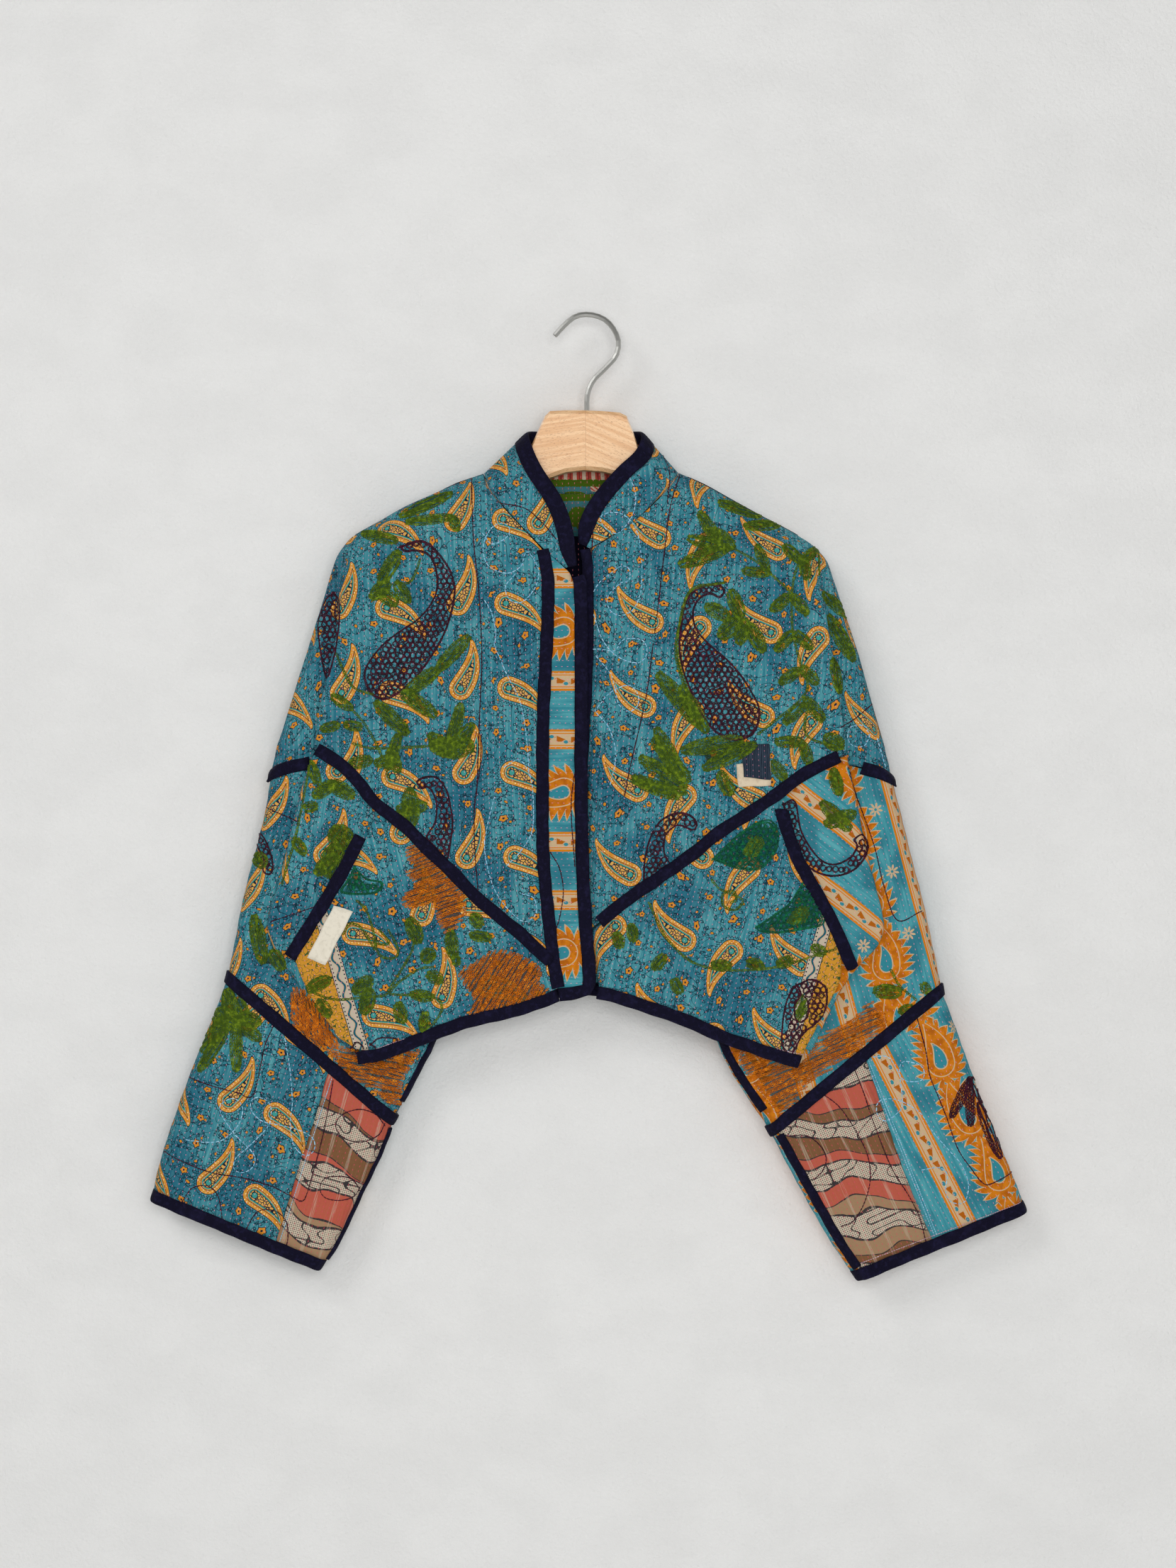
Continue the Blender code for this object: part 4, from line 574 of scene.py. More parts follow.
@dataclass(frozen=True)
class FlamePrint:
    """Print of orange flame-edged paisleys, daisies and striped borders on teal."""

    name: str = "flame_print"
    rows: QuiltRows = QuiltRows(5.2, 4.8, 0.25)
    motif: Motif = Motif(11.5, 35.0, 0.0002, 1.2)
    core: Motif = Motif(5.0, 16.0, 0.0010, 0.5)
    period: float = 135.0
    repeat: float = 54.0
    strips: tuple = (70.0, 119.0)
    teal: tuple = tint(48, 128, 142)
    pale: tuple = tint(88, 162, 170)
    orange: tuple = tint(200, 118, 18)
    ochre: tuple = tint(168, 90, 12)
    cream: tuple = tint(192, 166, 130)

    def strip(self, g: Graph, off: Num, v: Num, colour: object) -> object:
        """Print one striped border.

        Args:
            g: The material's graph.
            off: Across from the border's middle in mm.
            v: Along it in mm.
            colour: The print below.

        Returns:
            The colour with the border.
        """
        side = abs(off)
        colour = g.blend(side < 8.2, colour, self.cream)
        for place, half in ((7.4, 0.9), (5.0, 0.4)):
            colour = g.blend(side.near(place, half), colour, self.orange)
        share = (v / 12.0).fract()
        flip = (v / 12.0).floor().odd() * 2.0 - 1.0
        wedge = off * flip + 2.0
        colour = g.blend((wedge > 0.0) * (wedge < share * 5.0), colour, self.ochre)
        spot = (share - 0.35) * 12.0
        beside = off * flip + 2.2
        round_it = (spot * spot * 0.5 + beside * beside).do("SQRT")
        colour = g.blend(round_it < 1.9, colour, self.cream)
        return g.blend(round_it < 1.4, colour, self.teal)

    def build(self) -> bpy.types.Material:
        """Make the material."""
        g = Graph(self.name)
        u, v = g.cloth_place()
        bars = g.noise(g.point(u / 2.6, v / 40.0), 3.0, 0.65)
        colour = g.blend(bars.ramp(0.32, 0.74), self.teal, self.pale)
        shade = g.noise(g.point(u / 22.0, v / 30.0, 4.0), 1.0)
        colour = g.blend(shade.ramp(0.42, 0.66) * 0.7, colour, tint(34, 100, 118))
        fade = g.noise(g.point(u / 7.0, v / 7.0)).ramp(0.35, 0.7)
        orange = g.blend(fade, self.orange, self.ochre)
        across = (u / self.period).fract() * self.period
        level = v / self.repeat
        up = level.fract() * self.repeat
        x, y = (across - 26.0) * (1.0 - level.floor().odd() * 2.0), up - 18.0
        px, py = x * 0.955 + y * 0.297, y * 0.955 - x * 0.297
        outside, _, run = self.motif.reach(g, px, py)
        lean = run - outside * 0.9 + (px > 0.0) * 3.0
        tongue = (lean / 6.4).fract()
        flame = outside - 3.4 - (1.0 - tongue).do("POWER", 0.8) * 8.4
        colour = g.blend(flame < 0.9, colour, self.cream)
        colour = g.blend((flame < 0.0) * (tongue > 0.07).most(outside < 3.2), colour, orange)
        colour = g.blend(outside.near(0.0, 0.45), colour, self.cream)
        core, _, _ = self.core.reach(g, px, py - 0.5)
        colour = g.blend(core < 1.0, colour, self.cream)
        colour = g.blend(core < 0.0, colour, self.teal)
        dx, dy = across - 51.5, up - 40.0
        petal = dx.span(dy)
        lobes = abs((dy.turn(dx) * 4.0).sin()) * 5.2 + 0.8
        colour = g.blend((petal < lobes) * (petal > 1.2), colour, self.cream)
        for middle in self.strips:
            colour = self.strip(g, across - middle, v, colour)
        worn = g.noise(g.point(u / 1.5, v / 12.0), 3.0)
        colour = g.blend(worn.ramp(0.62, 0.8) * 0.35, colour, self.pale)
        colour, relief = self.rows.lay(g, u, v, colour)
        colour = thread_tone_and_shade_under(g, colour)
        return g.woven(colour, relief)


@dataclass(frozen=True)
class SalmonPrint:
    """Plain generic print of salmon, taupe and dotted cream bands in grey outlines."""

    name: str = "salmon_wave_print"
    rows: QuiltRows = QuiltRows(5.0, 4.4, 0.34, tint(200, 70, 92))
    band: float = 44.0
    salmon: tuple = tint(176, 86, 68)
    taupe: tuple = tint(118, 82, 54)
    sand: tuple = tint(152, 122, 92)
    cream: tuple = tint(196, 182, 162)
    grey: tuple = tint(52, 48, 50)

    def build(self) -> bpy.types.Material:
        """Make the material."""
        g = Graph(self.name)
        u, v = g.cloth_place()
        sway = (g.noise(g.point(u / 42.0, v / 60.0, 3.0), 1.0) - 0.5) * 30.0
        ripple = (u / 11.0 + v / 23.0).sin() * 2.6
        level = (v + sway + ripple + u * 0.35) / self.band
        share = level.fract()
        kind = (level.floor() * 0.37).fract()
        colour = g.blend(kind > 0.36, self.salmon, self.taupe)
        colour = g.blend(kind > 0.72, colour, self.sand)
        crest = share - (u / 31.0 + 0.6).sin() * 0.1 - 0.66
        dots = g.cells(g.point(u / 1.6, v / 1.6, 1.0), loose=0.0) < 0.29
        speckled = g.blend(dots, self.cream, self.grey)
        loops = g.noise(g.point(u / 17.0, v / 11.0, 7.0), 0.0)
        speckled = g.blend(loops.near(0.5, 0.02), speckled, self.grey)
        colour = g.blend(abs(crest) < 0.20, colour, speckled)
        edge = abs(abs(crest) - 0.21) * self.band
        thick = g.noise(g.point(u / 6.0, v / 6.0)) + 0.35
        colour = g.blend(edge < thick, colour, self.grey)
        colour = g.blend((share * self.band) < thick * 1.1, colour, self.grey)
        check = (u / 17.0 + 0.2).fract().near(0.5, 0.09)
        weave = g.noise(g.point(u / 0.8, v / 20.0), 2.0)
        colour = g.blend(check * weave.ramp(0.4, 0.6) * 0.40, colour, self.cream)
        colour = g.blend(weave.ramp(0.5, 0.75) * 0.2, colour, self.sand)
        colour, relief = self.rows.lay(g, u, v, colour)
        return g.woven(colour, relief)


@dataclass(frozen=True)
class StripedLining:
    """Salmon and cream stripes inside the neck, over a green band and striped scraps."""

    name: str = "neck_lining"
    rows: QuiltRows = QuiltRows(5.0, 4.4, 0.34, tint(220, 120, 130))
    salmon: tuple = tint(178, 72, 58)
    rust: tuple = tint(124, 48, 42)
    cream: tuple = tint(204, 184, 160)
    green: tuple = tint(66, 98, 14)
    teal: tuple = tint(58, 118, 126)

    def build(self) -> bpy.types.Material:
        """Make the material."""
        g = Graph(self.name)
        u, v = g.cloth_place()
        fan = u / 7.0 + (v + 90.0) * u / 2600.0
        stripe = fan.fract()
        colour = g.blend(stripe > 0.60, self.salmon, self.cream)
        colour = g.blend(stripe.near(0.3, 0.06), colour, self.rust)
        blotch = g.noise(g.point(u / 2.4, v / 2.4), 3.0)
        scrap = g.cells(g.point(u / 19.0, v / 15.0, 3.0))
        bars = ((u * 0.8 + v) / 3.6).fract() > 0.55
        mixed = g.blend(bars, self.cream, self.salmon)
        mixed = g.blend(scrap > 0.46, mixed, self.teal)
        colour = g.blend(v + blotch * 2.0 < -131.0, colour, mixed)
        colour = g.blend(abs(v + blotch * 3.0 + 129.5) < 3.0, colour, self.green)
        dx, dy = (u - 6.0) / 9.0, (v + blotch * 6.0 + 145.0) / 9.5
        colour = g.blend((dx * dx + dy * dy) < 1.0, colour, self.green)
        colour = g.blend(blotch.ramp(0.5, 0.7) * 0.35, colour, self.rust)
        colour = g.blend(v < -164.0, colour, tint(14, 12, 32))
        colour, relief = self.rows.lay(g, u, v, colour)
        return g.woven(colour, relief)


@dataclass(frozen=True)
class PlainCloth:
    """One colour of plain woven cotton, with its yarn and a little wear."""

    name: str
    colour: tuple
    worn: tuple
    pucker: float = 0.5
    yarn_mm: float = 0.45

    def build(self) -> bpy.types.Material:
        """Make the material."""
        g = Graph(self.name)
        x, y, z = g.solid_place()
        warp = (x * (math.tau / self.yarn_mm)).sin() * (z * (math.tau / self.yarn_mm)).sin()
        fuzz = g.noise(g.point(x * 1.4, y * 1.4, z * 1.4), 3.0, 0.6)
        soft = g.noise(g.point(x / 9.0, y / 9.0, z / 9.0), 2.0)
        crimp = g.noise(g.point(x / 3.4, y / 3.4, z / 3.4), 2.0)
        colour = g.blend(fuzz.ramp(0.5, 0.8) * 0.35, self.colour, self.worn)
        colour = g.blend(crimp.ramp(0.52, 0.68) * 0.5, colour, self.worn)
        colour = g.blend(soft.ramp(0.5, 0.75) * 0.4, colour, self.worn)
        relief = crimp * self.pucker + warp * 0.05 + fuzz * 0.08
        return g.surface(colour, 0.92, relief, 0.9, Specular_IOR_Level=0.12)


@dataclass(frozen=True)
class MendPatch:
    """Dark indigo mend with fine pale stripes and stitched dashes."""

    name: str = "mend_indigo"
    dark: tuple = tint(30, 40, 54)
    pale: tuple = tint(72, 86, 102)

    def build(self) -> bpy.types.Material:
        """Make the material."""
        g = Graph(self.name)
        u, v = g.cloth_place()
        fine = g.noise(g.point(u / 0.7, v / 14.0), 2.0)
        stripe = (u / 1.8).fract() < 0.16
        colour = g.blend(fine.ramp(0.5, 0.7) * 0.5, self.dark, self.pale)
        colour = g.blend(stripe * 0.5, colour, self.pale)
        colour, relief = QuiltRows(5.0, 4.6, 0.22, tint(176, 110, 130)).lay(g, u, v, colour)
        return g.surface(colour, 0.93, relief, 0.7, Specular_IOR_Level=0.15)


@dataclass(frozen=True)
class Yarn:
    """Embroidery thread with a twist: an uneven dye, with a painted highlight and a painted shade copy of its
    colour.
    """

    name: str
    colour: tuple
    # light is a painted highlight copy and dark a painted shade copy of the thread's colour.
    light: tuple
    dark: tuple

    def build(self) -> bpy.types.Material:
        """Make the material."""
        g = Graph(self.name)
        x, y, z = g.solid_place()
        dye = g.noise(g.point(x / 3.2, y / 3.2, z / 3.2), 2.0)
        ply = (x * 5.1 + z * 7.3 + y * 4.0).sin()
        # Noise mixes in the painted shade and painted highlight over an uneven dye; the twist's grooves get
        # painted shade too.
        colour = g.blend(dye.ramp(0.42, 0.66), self.dark, self.colour)
        colour = g.blend(dye.ramp(0.60, 0.80) * 0.8, colour, self.light)
        colour = g.blend((ply > 0.72) * 0.35, colour, self.dark)
        return g.surface(colour, 0.62, ply * 0.06, 0.6, Specular_IOR_Level=0.2)


@dataclass(frozen=True)
class BeechWood:
    """Pale beech: long grain that follows each arm, with small dark pore flecks."""

    name: str = "beech"
    pale: tuple = tint(236, 194, 146)
    warm: tuple = tint(220, 168, 116)
    fleck: tuple = tint(172, 114, 72)
    joint_mm: float = 1.2

    def build(self) -> bpy.types.Material:
        """Make the material."""
        g = Graph(self.name)
        x, y, z = g.solid_place()
        right = x > self.joint_mm
        slant = g.pick(right, x * -0.16, x * 0.42)
        grain = z + slant
        ring = g.noise(g.point(x / 60.0, y / 12.0, grain / 2.6), 3.0, 0.55)
        pores = g.noise(g.point(x / 2.2, y / 0.6, grain / 0.5), 2.0)
        colour = g.blend(ring.ramp(0.38, 0.66), self.pale, self.warm)
        colour = g.blend(pores.ramp(0.56, 0.70) * 0.65, colour, self.fleck)
        colour = g.blend(x.near(self.joint_mm, 0.16) * 0.65, colour, self.fleck)
        relief = pores * -0.05 + ring * 0.03
        return g.surface(colour, 0.46, relief, 0.7, Coat_Weight=0.12, Coat_Roughness=0.35)


@dataclass(frozen=True)
class BrushedSteel:
    """Satin wire of the hook, with fine drawing lines."""

    name: str = "satin_steel"
    colour: tuple = tint(176, 176, 172)

    def build(self) -> bpy.types.Material:
        """Make the material."""
        g = Graph(self.name)
        x, y, z = g.solid_place()
        drawn = g.noise(g.point(x * 2.0, y * 9.0, z * 2.0), 2.0)
        smear = g.noise(g.point(x / 6.0, y / 6.0, z / 6.0))
        rough = 0.24 + drawn * 0.12 + smear * 0.08
        return g.surface(self.colour, rough, drawn * 0.02, 0.5, Metallic=1.0)


class Finish(Enum):
    """Every finish on the jacket and its hanger, by its record slot."""

    TEAL = "teal_print"
    FLAME = "flame_print"
    SALMON = "salmon_print"
    LINING = "lining"
    NAVY = "navy_binding"
    LABEL = "label_cream"
    MEND = "mend"
    CREAM = "cream_cotton"
    BEECH = "beech_wood"
    STEEL = "steel_wire"
    GREEN = "green_yarn"
    PLUM = "plum_yarn"
    FOREST = "forest_yarn"
    MUSTARD = "mustard_yarn"
    SKY = "sky_yarn"
    WHITE = "white_yarn"


MAKERS = {
    Finish.TEAL: TealPrint(),
    Finish.FLAME: FlamePrint(),
    Finish.SALMON: SalmonPrint(),
    Finish.LINING: StripedLining(),
    Finish.NAVY: PlainCloth("navy_cotton", tint(14, 12, 32), tint(30, 28, 58), 1.8),
    Finish.LABEL: PlainCloth("label_tape", tint(230, 223, 206), tint(208, 200, 182), 0.2, 0.6),
    Finish.MEND: MendPatch(),
    Finish.CREAM: PlainCloth("cream_cotton", tint(220, 204, 178), tint(196, 176, 150)),
    Finish.BEECH: BeechWood(),
    Finish.STEEL: BrushedSteel(),
    # Yarns: thread colour, then its painted highlight copy and its painted shade copy.
    Finish.GREEN: Yarn("green_yarn", tint(102, 128, 8), tint(156, 172, 40), tint(62, 86, 4)),
    Finish.PLUM: Yarn("plum_yarn", tint(72, 12, 38), tint(108, 34, 60), tint(44, 6, 26)),
    Finish.FOREST: Yarn("forest_yarn", tint(0, 110, 66), tint(26, 142, 96), tint(0, 76, 48)),
    Finish.MUSTARD: Yarn("mustard_yarn", tint(226, 128, 4), tint(248, 172, 44), tint(178, 92, 2)),
    Finish.SKY: Yarn("sky_yarn", tint(176, 214, 236), tint(206, 232, 246), tint(130, 184, 214)),
    Finish.WHITE: Yarn("white_yarn", tint(214, 190, 200), tint(236, 220, 224), tint(180, 140, 160)),
}
MADE: dict[Finish, bpy.types.Material] = {}


def material(finish: Finish) -> bpy.types.Material:
    """Give a finish's material, made on first use."""
    if finish not in MADE:
        MADE[finish] = MAKERS[finish].build()
    return MADE[finish]


def at(points: Sequence) -> np.ndarray:
    """Turn drawing points into X and Z in metres.

    Args:
        points: Pairs in drawing units, down from the top left.

    Returns:
        One row of X and Z for each.
    """
    p = np.asarray(points, float) - ZERO
    return p * (UNIT, -UNIT)


def smooth(points: np.ndarray, step: float) -> np.ndarray:
    """Run an even, rounded line through points.

    Args:
        points: The points that it passes.
        step: The spacing of the new points.

    Returns:
        The new points.
    """
    p = np.asarray(points, float)
    ahead = np.vstack([2 * p[0] - p[1], p, 2 * p[-1] - p[-2]])
    share = np.linspace(0.0, 1.0, 12, endpoint=False)[:, None]
    parts = []
    for a, b, c, d in zip(ahead, ahead[1:], ahead[2:], ahead[3:], strict=False):
        parts.append(0.5 * (2 * b + (c - a) * share + (2 * a - 5 * b + 4 * c - d) * share**2
                            + (3 * b - a - 3 * c + d) * share**3))
    fine = np.vstack([*parts, p[-1:]])
    run = np.concatenate([[0.0], np.cumsum(np.linalg.norm(np.diff(fine, axis=0), axis=1))])
    count = max(2, round(run[-1] / step) + 1)
    spots = np.linspace(0.0, run[-1], count)
    return np.stack([np.interp(spots, run, fine[:, k]) for k in range(fine.shape[1])], axis=1)


def ease(value: np.ndarray) -> np.ndarray:
    """Rise smoothly from 0 to 1."""
    t = np.clip(value, 0.0, 1.0)
    return t * t * (3.0 - 2.0 * t)


# Soft folds: start and end in drawing units, half width in mm and height, a trough below 0.
FRONT_CREASES = [
    (700, 735, 712, 900, 11, 1.3), (728, 770, 722, 985, 7, -1.2), (748, 800, 740, 1010, 8, 0.9),
    (672, 760, 664, 930, 9, -0.8), (640, 905, 676, 1110, 10, 1.2), (585, 800, 560, 960, 13, -0.9),
    (530, 790, 520, 930, 9, 1.1), (545, 930, 600, 1090, 9, -1.4), (575, 1010, 640, 1150, 7, 1.1),
    (690, 1000, 715, 1210, 9, -1.1), (730, 1030, 742, 1260, 7, 1.0), (754, 1090, 760, 1290, 5, -0.7),
    (600, 1130, 655, 1215, 8, -0.9), (560, 1170, 548, 1330, 12, 1.2), (600, 1230, 620, 1420, 10, -1.2),
    (655, 1290, 668, 1400, 8, 1.0), (500, 1250, 470, 1370, 9, -0.8), (700, 1330, 722, 1400, 8, -0.9),
    (520, 1340, 540, 1450, 8, 1.0), (742, 1320, 750, 1385, 6, 0.8), (478, 1000, 462, 1120, 6, 1.0),
    (505, 1045, 492, 1180, 7, -0.9), (900, 745, 905, 900, 10, 1.2), (872, 790, 870, 980, 7, -1.0),
    (928, 790, 915, 960, 8, -0.8), (960, 800, 985, 960, 12, 1.0), (1040, 760, 1060, 900, 12, -0.9),
    (1090, 790, 1115, 960, 9, 1.2), (1120, 900, 1085, 1060, 8, -1.3), (1080, 980, 1010, 1120, 7, 1.0),
    (890, 1000, 880, 1220, 9, 1.1), (862, 1050, 856, 1270, 6, -0.9), (930, 1040, 925, 1210, 8, -1.0),
    (975, 1080, 968, 1200, 8, 0.9), (910, 1270, 905, 1390, 9, 1.0), (950, 1250, 960, 1410, 8, -1.1),
    (1010, 1210, 1025, 1430, 10, 1.1), (1060, 1180, 1080, 1440, 11, -1.0), (870, 1300, 868, 1385, 6, -0.8),
    (1135, 1090, 1125, 1180, 6, 1.3), (1160, 1080, 1180, 1260, 8, -1.1), (1120, 1290, 1110, 1450, 7, 0.8),
    (400, 1075, 372, 1200, 9, 0.8), (425, 1100, 398, 1290, 8, -1.1), (440, 1240, 420, 1390, 9, 1.2),
    (380, 1150, 350, 1330, 7, -0.8), (470, 1390, 400, 1400, 9, 0.9), (520, 1500, 455, 1540, 8, -0.9),
    (415, 1430, 385, 1560, 11, 0.9), (350, 1470, 320, 1660, 9, -0.8), (470, 1560, 440, 1690, 9, 0.9),
    (405, 1620, 380, 1740, 10, -0.9), (300, 1560, 276, 1680, 8, 0.8), (1235, 1090, 1262, 1240, 9, 0.9),
    (1215, 1110, 1236, 1290, 7, -1.1), (1205, 1330, 1240, 1420, 9, 1.1), (1280, 1200, 1300, 1350, 8, -0.8),
    (1150, 1500, 1190, 1560, 8, -0.8), (1255, 1450, 1290, 1600, 11, 0.9), (1210, 1500, 1235, 1680, 8, -0.8),
    (1325, 1470, 1370, 1640, 9, 0.8), (1290, 1620, 1320, 1730, 9, -0.9), (1170, 1580, 1200, 1720, 8, 0.8),
]
BACK_CREASES = [
    (700, 740, 690, 960, 12, 1.1), (760, 760, 770, 980, 10, -1.0), (824, 730, 820, 930, 14, 1.0),
    (885, 760, 875, 985, 9, -0.9), (950, 750, 962, 950, 12, 1.1), (600, 800, 575, 960, 11, -0.9),
    (1040, 800, 1066, 970, 11, -1.0), (540, 930, 610, 1090, 9, 1.2), (1110, 930, 1035, 1100, 9, 1.2),
    (690, 1010, 700, 1140, 8, -0.8), (770, 1040, 762, 1160, 9, 0.9), (860, 1020, 872, 1160, 9, -0.9),
    (950, 1030, 944, 1150, 9, 0.9), (560, 1160, 540, 1330, 12, -1.1), (620, 1190, 632, 1420, 10, 1.2),
    (700, 1200, 690, 1390, 9, -1.2), (770, 1210, 782, 1380, 11, 1.0), (846, 1200, 838, 1370, 9, -1.0),
    (915, 1200, 928, 1390, 10, 1.2), (990, 1190, 984, 1420, 9, -1.1), (1060, 1170, 1082, 1430, 11, 1.1),
    (480, 1150, 462, 1360, 9, 0.9), (1150, 1140, 1172, 1370, 9, -0.9), (420, 1110, 390, 1290, 9, 1.0),
    (380, 1160, 352, 1330, 8, -0.9), (1230, 1110, 1258, 1290, 9, -1.0), (1275, 1170, 1300, 1340, 8, 0.8),
    (400, 1440, 372, 1580, 10, 0.9), (330, 1480, 304, 1660, 9, -0.8), (460, 1560, 430, 1700, 9, -0.8),
    (1250, 1460, 1285, 1610, 10, 0.9), (1200, 1520, 1230, 1690, 9, -0.9), (1330, 1490, 1365, 1650, 9, 0.8),
]


class Hang:
    """How the cloth hangs: the same soft folds move every piece that lies on it."""

    HEIGHT = 0.0014
    WAVER = 0.00022

    def __init__(self) -> None:
        """Read the crease tables."""
        self.front = self.ready(FRONT_CREASES)
        self.back = self.ready(BACK_CREASES)

    @staticmethod
    def ready(rows: list[tuple]) -> list[tuple]:
        """Turn crease rows into metres."""
        return [(at([r[:2]])[0], at([r[2:4]])[0], r[4] * 0.001, r[5] * Hang.HEIGHT) for r in rows]

    @staticmethod
    def rise(place: np.ndarray, creases: list[tuple]) -> np.ndarray:
        """Give the height of the folds over places.

        Args:
            place: Rows of X and Z.
            creases: The folds, in metres.

        Returns:
            One height each.
        """
        high = np.zeros(len(place))
        for start, end, wide, height in creases:
            line = end - start
            share = np.clip((place - start) @ line / (line @ line), 0.0, 1.0)
            off = place - start - share[:, None] * line
            bow = 1.0 + 0.35 * np.sin(7.0 * share + 900.0 * start[0])
            fade = 0.4 + 0.6 * np.sin(math.pi * np.clip(share, 0.06, 0.94))
            high += height * fade * np.exp(-((off**2).sum(1)) / (wide * bow) ** 2)
        return high

    def move(self, points: np.ndarray) -> np.ndarray:
        """Move points with the folds, and let the edges waver.

        Args:
            points: Rows of X, Y and Z.

        Returns:
            The moved rows.
        """
        moved = points.copy()
        place = points[:, [0, 2]]
        hand = ease((np.abs(points[:, 1]) - 0.003) / 0.009)
        below = ease((-0.165 - points[:, 2]) / 0.05)
        front = points[:, 1] < 0
        moved[front, 1] -= (self.rise(place[front], self.front) * hand[front] * below[front])
        back = ~front
        moved[back, 1] += (self.rise(place[back], self.back) * hand[back] * below[back])
        x, z = points[:, 0] * 1000, points[:, 2] * 1000
        waver = np.sin(z / 3.1 + 2.0 * np.sin(x / 23.0)) + 0.7 * np.sin(z / 7.3 + x / 5.0)
        moved[:, 0] += self.WAVER * waver * below
        moved[:, 2] += self.WAVER * np.sin(x / 3.4 + 1.7 * np.sin(z / 19.0)) * below
        return moved


# Where a panel's outer face lies along Y, so that its map runs round the fold.
FRONT_FACE = -0.024
SLEEVE_FACE = -0.010
BACK_FACE = 0.019


@dataclass(frozen=True)
class Panel:
    """One cut piece of quilted cloth, with the flat size of its cut."""

    node: str
    finish: Finish
    flat: tuple[float, float]
    area: float
    turn: float = 0.0
    start: tuple[float, float] = (0.0, 0.0)
    trims: tuple[str, ...] = ()
    face: float = FRONT_FACE
    lining: Finish | None = None
    border: tuple = ()


PANELS = [
    Panel("back_yoke", Finish.TEAL, (0.66, 0.31), 0.1454, 0, (11, 20),
          ("back_seam_binding", "shoulder_binding_left", "shoulder_binding_right"), BACK_FACE, Finish.LINING),
    Panel("back_lower", Finish.TEAL, (0.64, 0.28), 0.1527, 0, (11, 20),
          ("hem_binding_back",), BACK_FACE),
    Panel("front_yoke_right", Finish.TEAL, (0.33, 0.42), 0.0718, 2, (90, 1),
          ("yoke_binding_right", "placket_binding_inner")),
    Panel("front_yoke_left", Finish.TEAL, (0.34, 0.40), 0.0749, 175, (95.5, 4),
          ("yoke_binding_left", "underlap_binding")),
    Panel("collar", Finish.TEAL, (0.42, 0.032), 0.0124, 0, (14, 8), ("collar_binding",),
          lining=Finish.LINING),
    Panel("pocket_panel_right", Finish.TEAL, (0.22, 0.20), 0.0245, 14, (30, 5),
          ("pocket_binding_right", "hem_binding_right"), border=((468, 1327), (513, 1477))),
    Panel("pocket_panel_left", Finish.TEAL, (0.215, 0.22), 0.0268, 168, (8, 44),
          ("pocket_binding_left", "hem_binding_left"), border=((1110, 1480), (1160, 1306))),
    Panel("side_panel_right", Finish.TEAL, (0.31, 0.25), 0.0562, -9, (20, 31)),
    Panel("side_panel_left", Finish.FLAME, (0.30, 0.25), 0.0532, 52, (55, 12)),
    Panel("sleeve_upper_right", Finish.TEAL, (0.38, 0.30), 0.0914, -16, (20, 31),
          ("armhole_binding_right", "elbow_binding_right", "underarm_binding_upper_right"), SLEEVE_FACE),
    Panel("sleeve_upper_left", Finish.FLAME, (0.38, 0.31), 0.0977, 15, (57, 20),
          ("armhole_binding_left", "elbow_binding_left", "underarm_binding_upper_left"), SLEEVE_FACE),
    Panel("sleeve_cuff_right", Finish.TEAL, (0.36, 0.17), 0.0497, -14, (6, 50),
          ("cuff_binding_right", "underarm_binding_cuff_right"), SLEEVE_FACE),
    Panel("sleeve_cuff_left", Finish.FLAME, (0.34, 0.17), 0.0473, 27, (44, 14),
          ("cuff_binding_left", "underarm_binding_cuff_left"), SLEEVE_FACE),
    Panel("cuff_gore_right", Finish.SALMON, (0.06, 0.18), 0.0091, -16, (0, 0), face=SLEEVE_FACE),
    Panel("cuff_gore_left", Finish.SALMON, (0.085, 0.18), 0.0124, 24, (20, 12), face=SLEEVE_FACE),
    Panel("placket_strip", Finish.FLAME, (0.026, 0.37), 0.00945, 90, (22.5, 1),
          ("placket_binding_front",)),
    Panel("repair_patch_cream", Finish.CREAM, (0.029, 0.021), 0.00058),
    Panel("repair_patch_dark", Finish.MEND, (0.025, 0.030), 0.00069),
    Panel("label_tab", Finish.LABEL, (0.0175, 0.054), 0.00085),
]


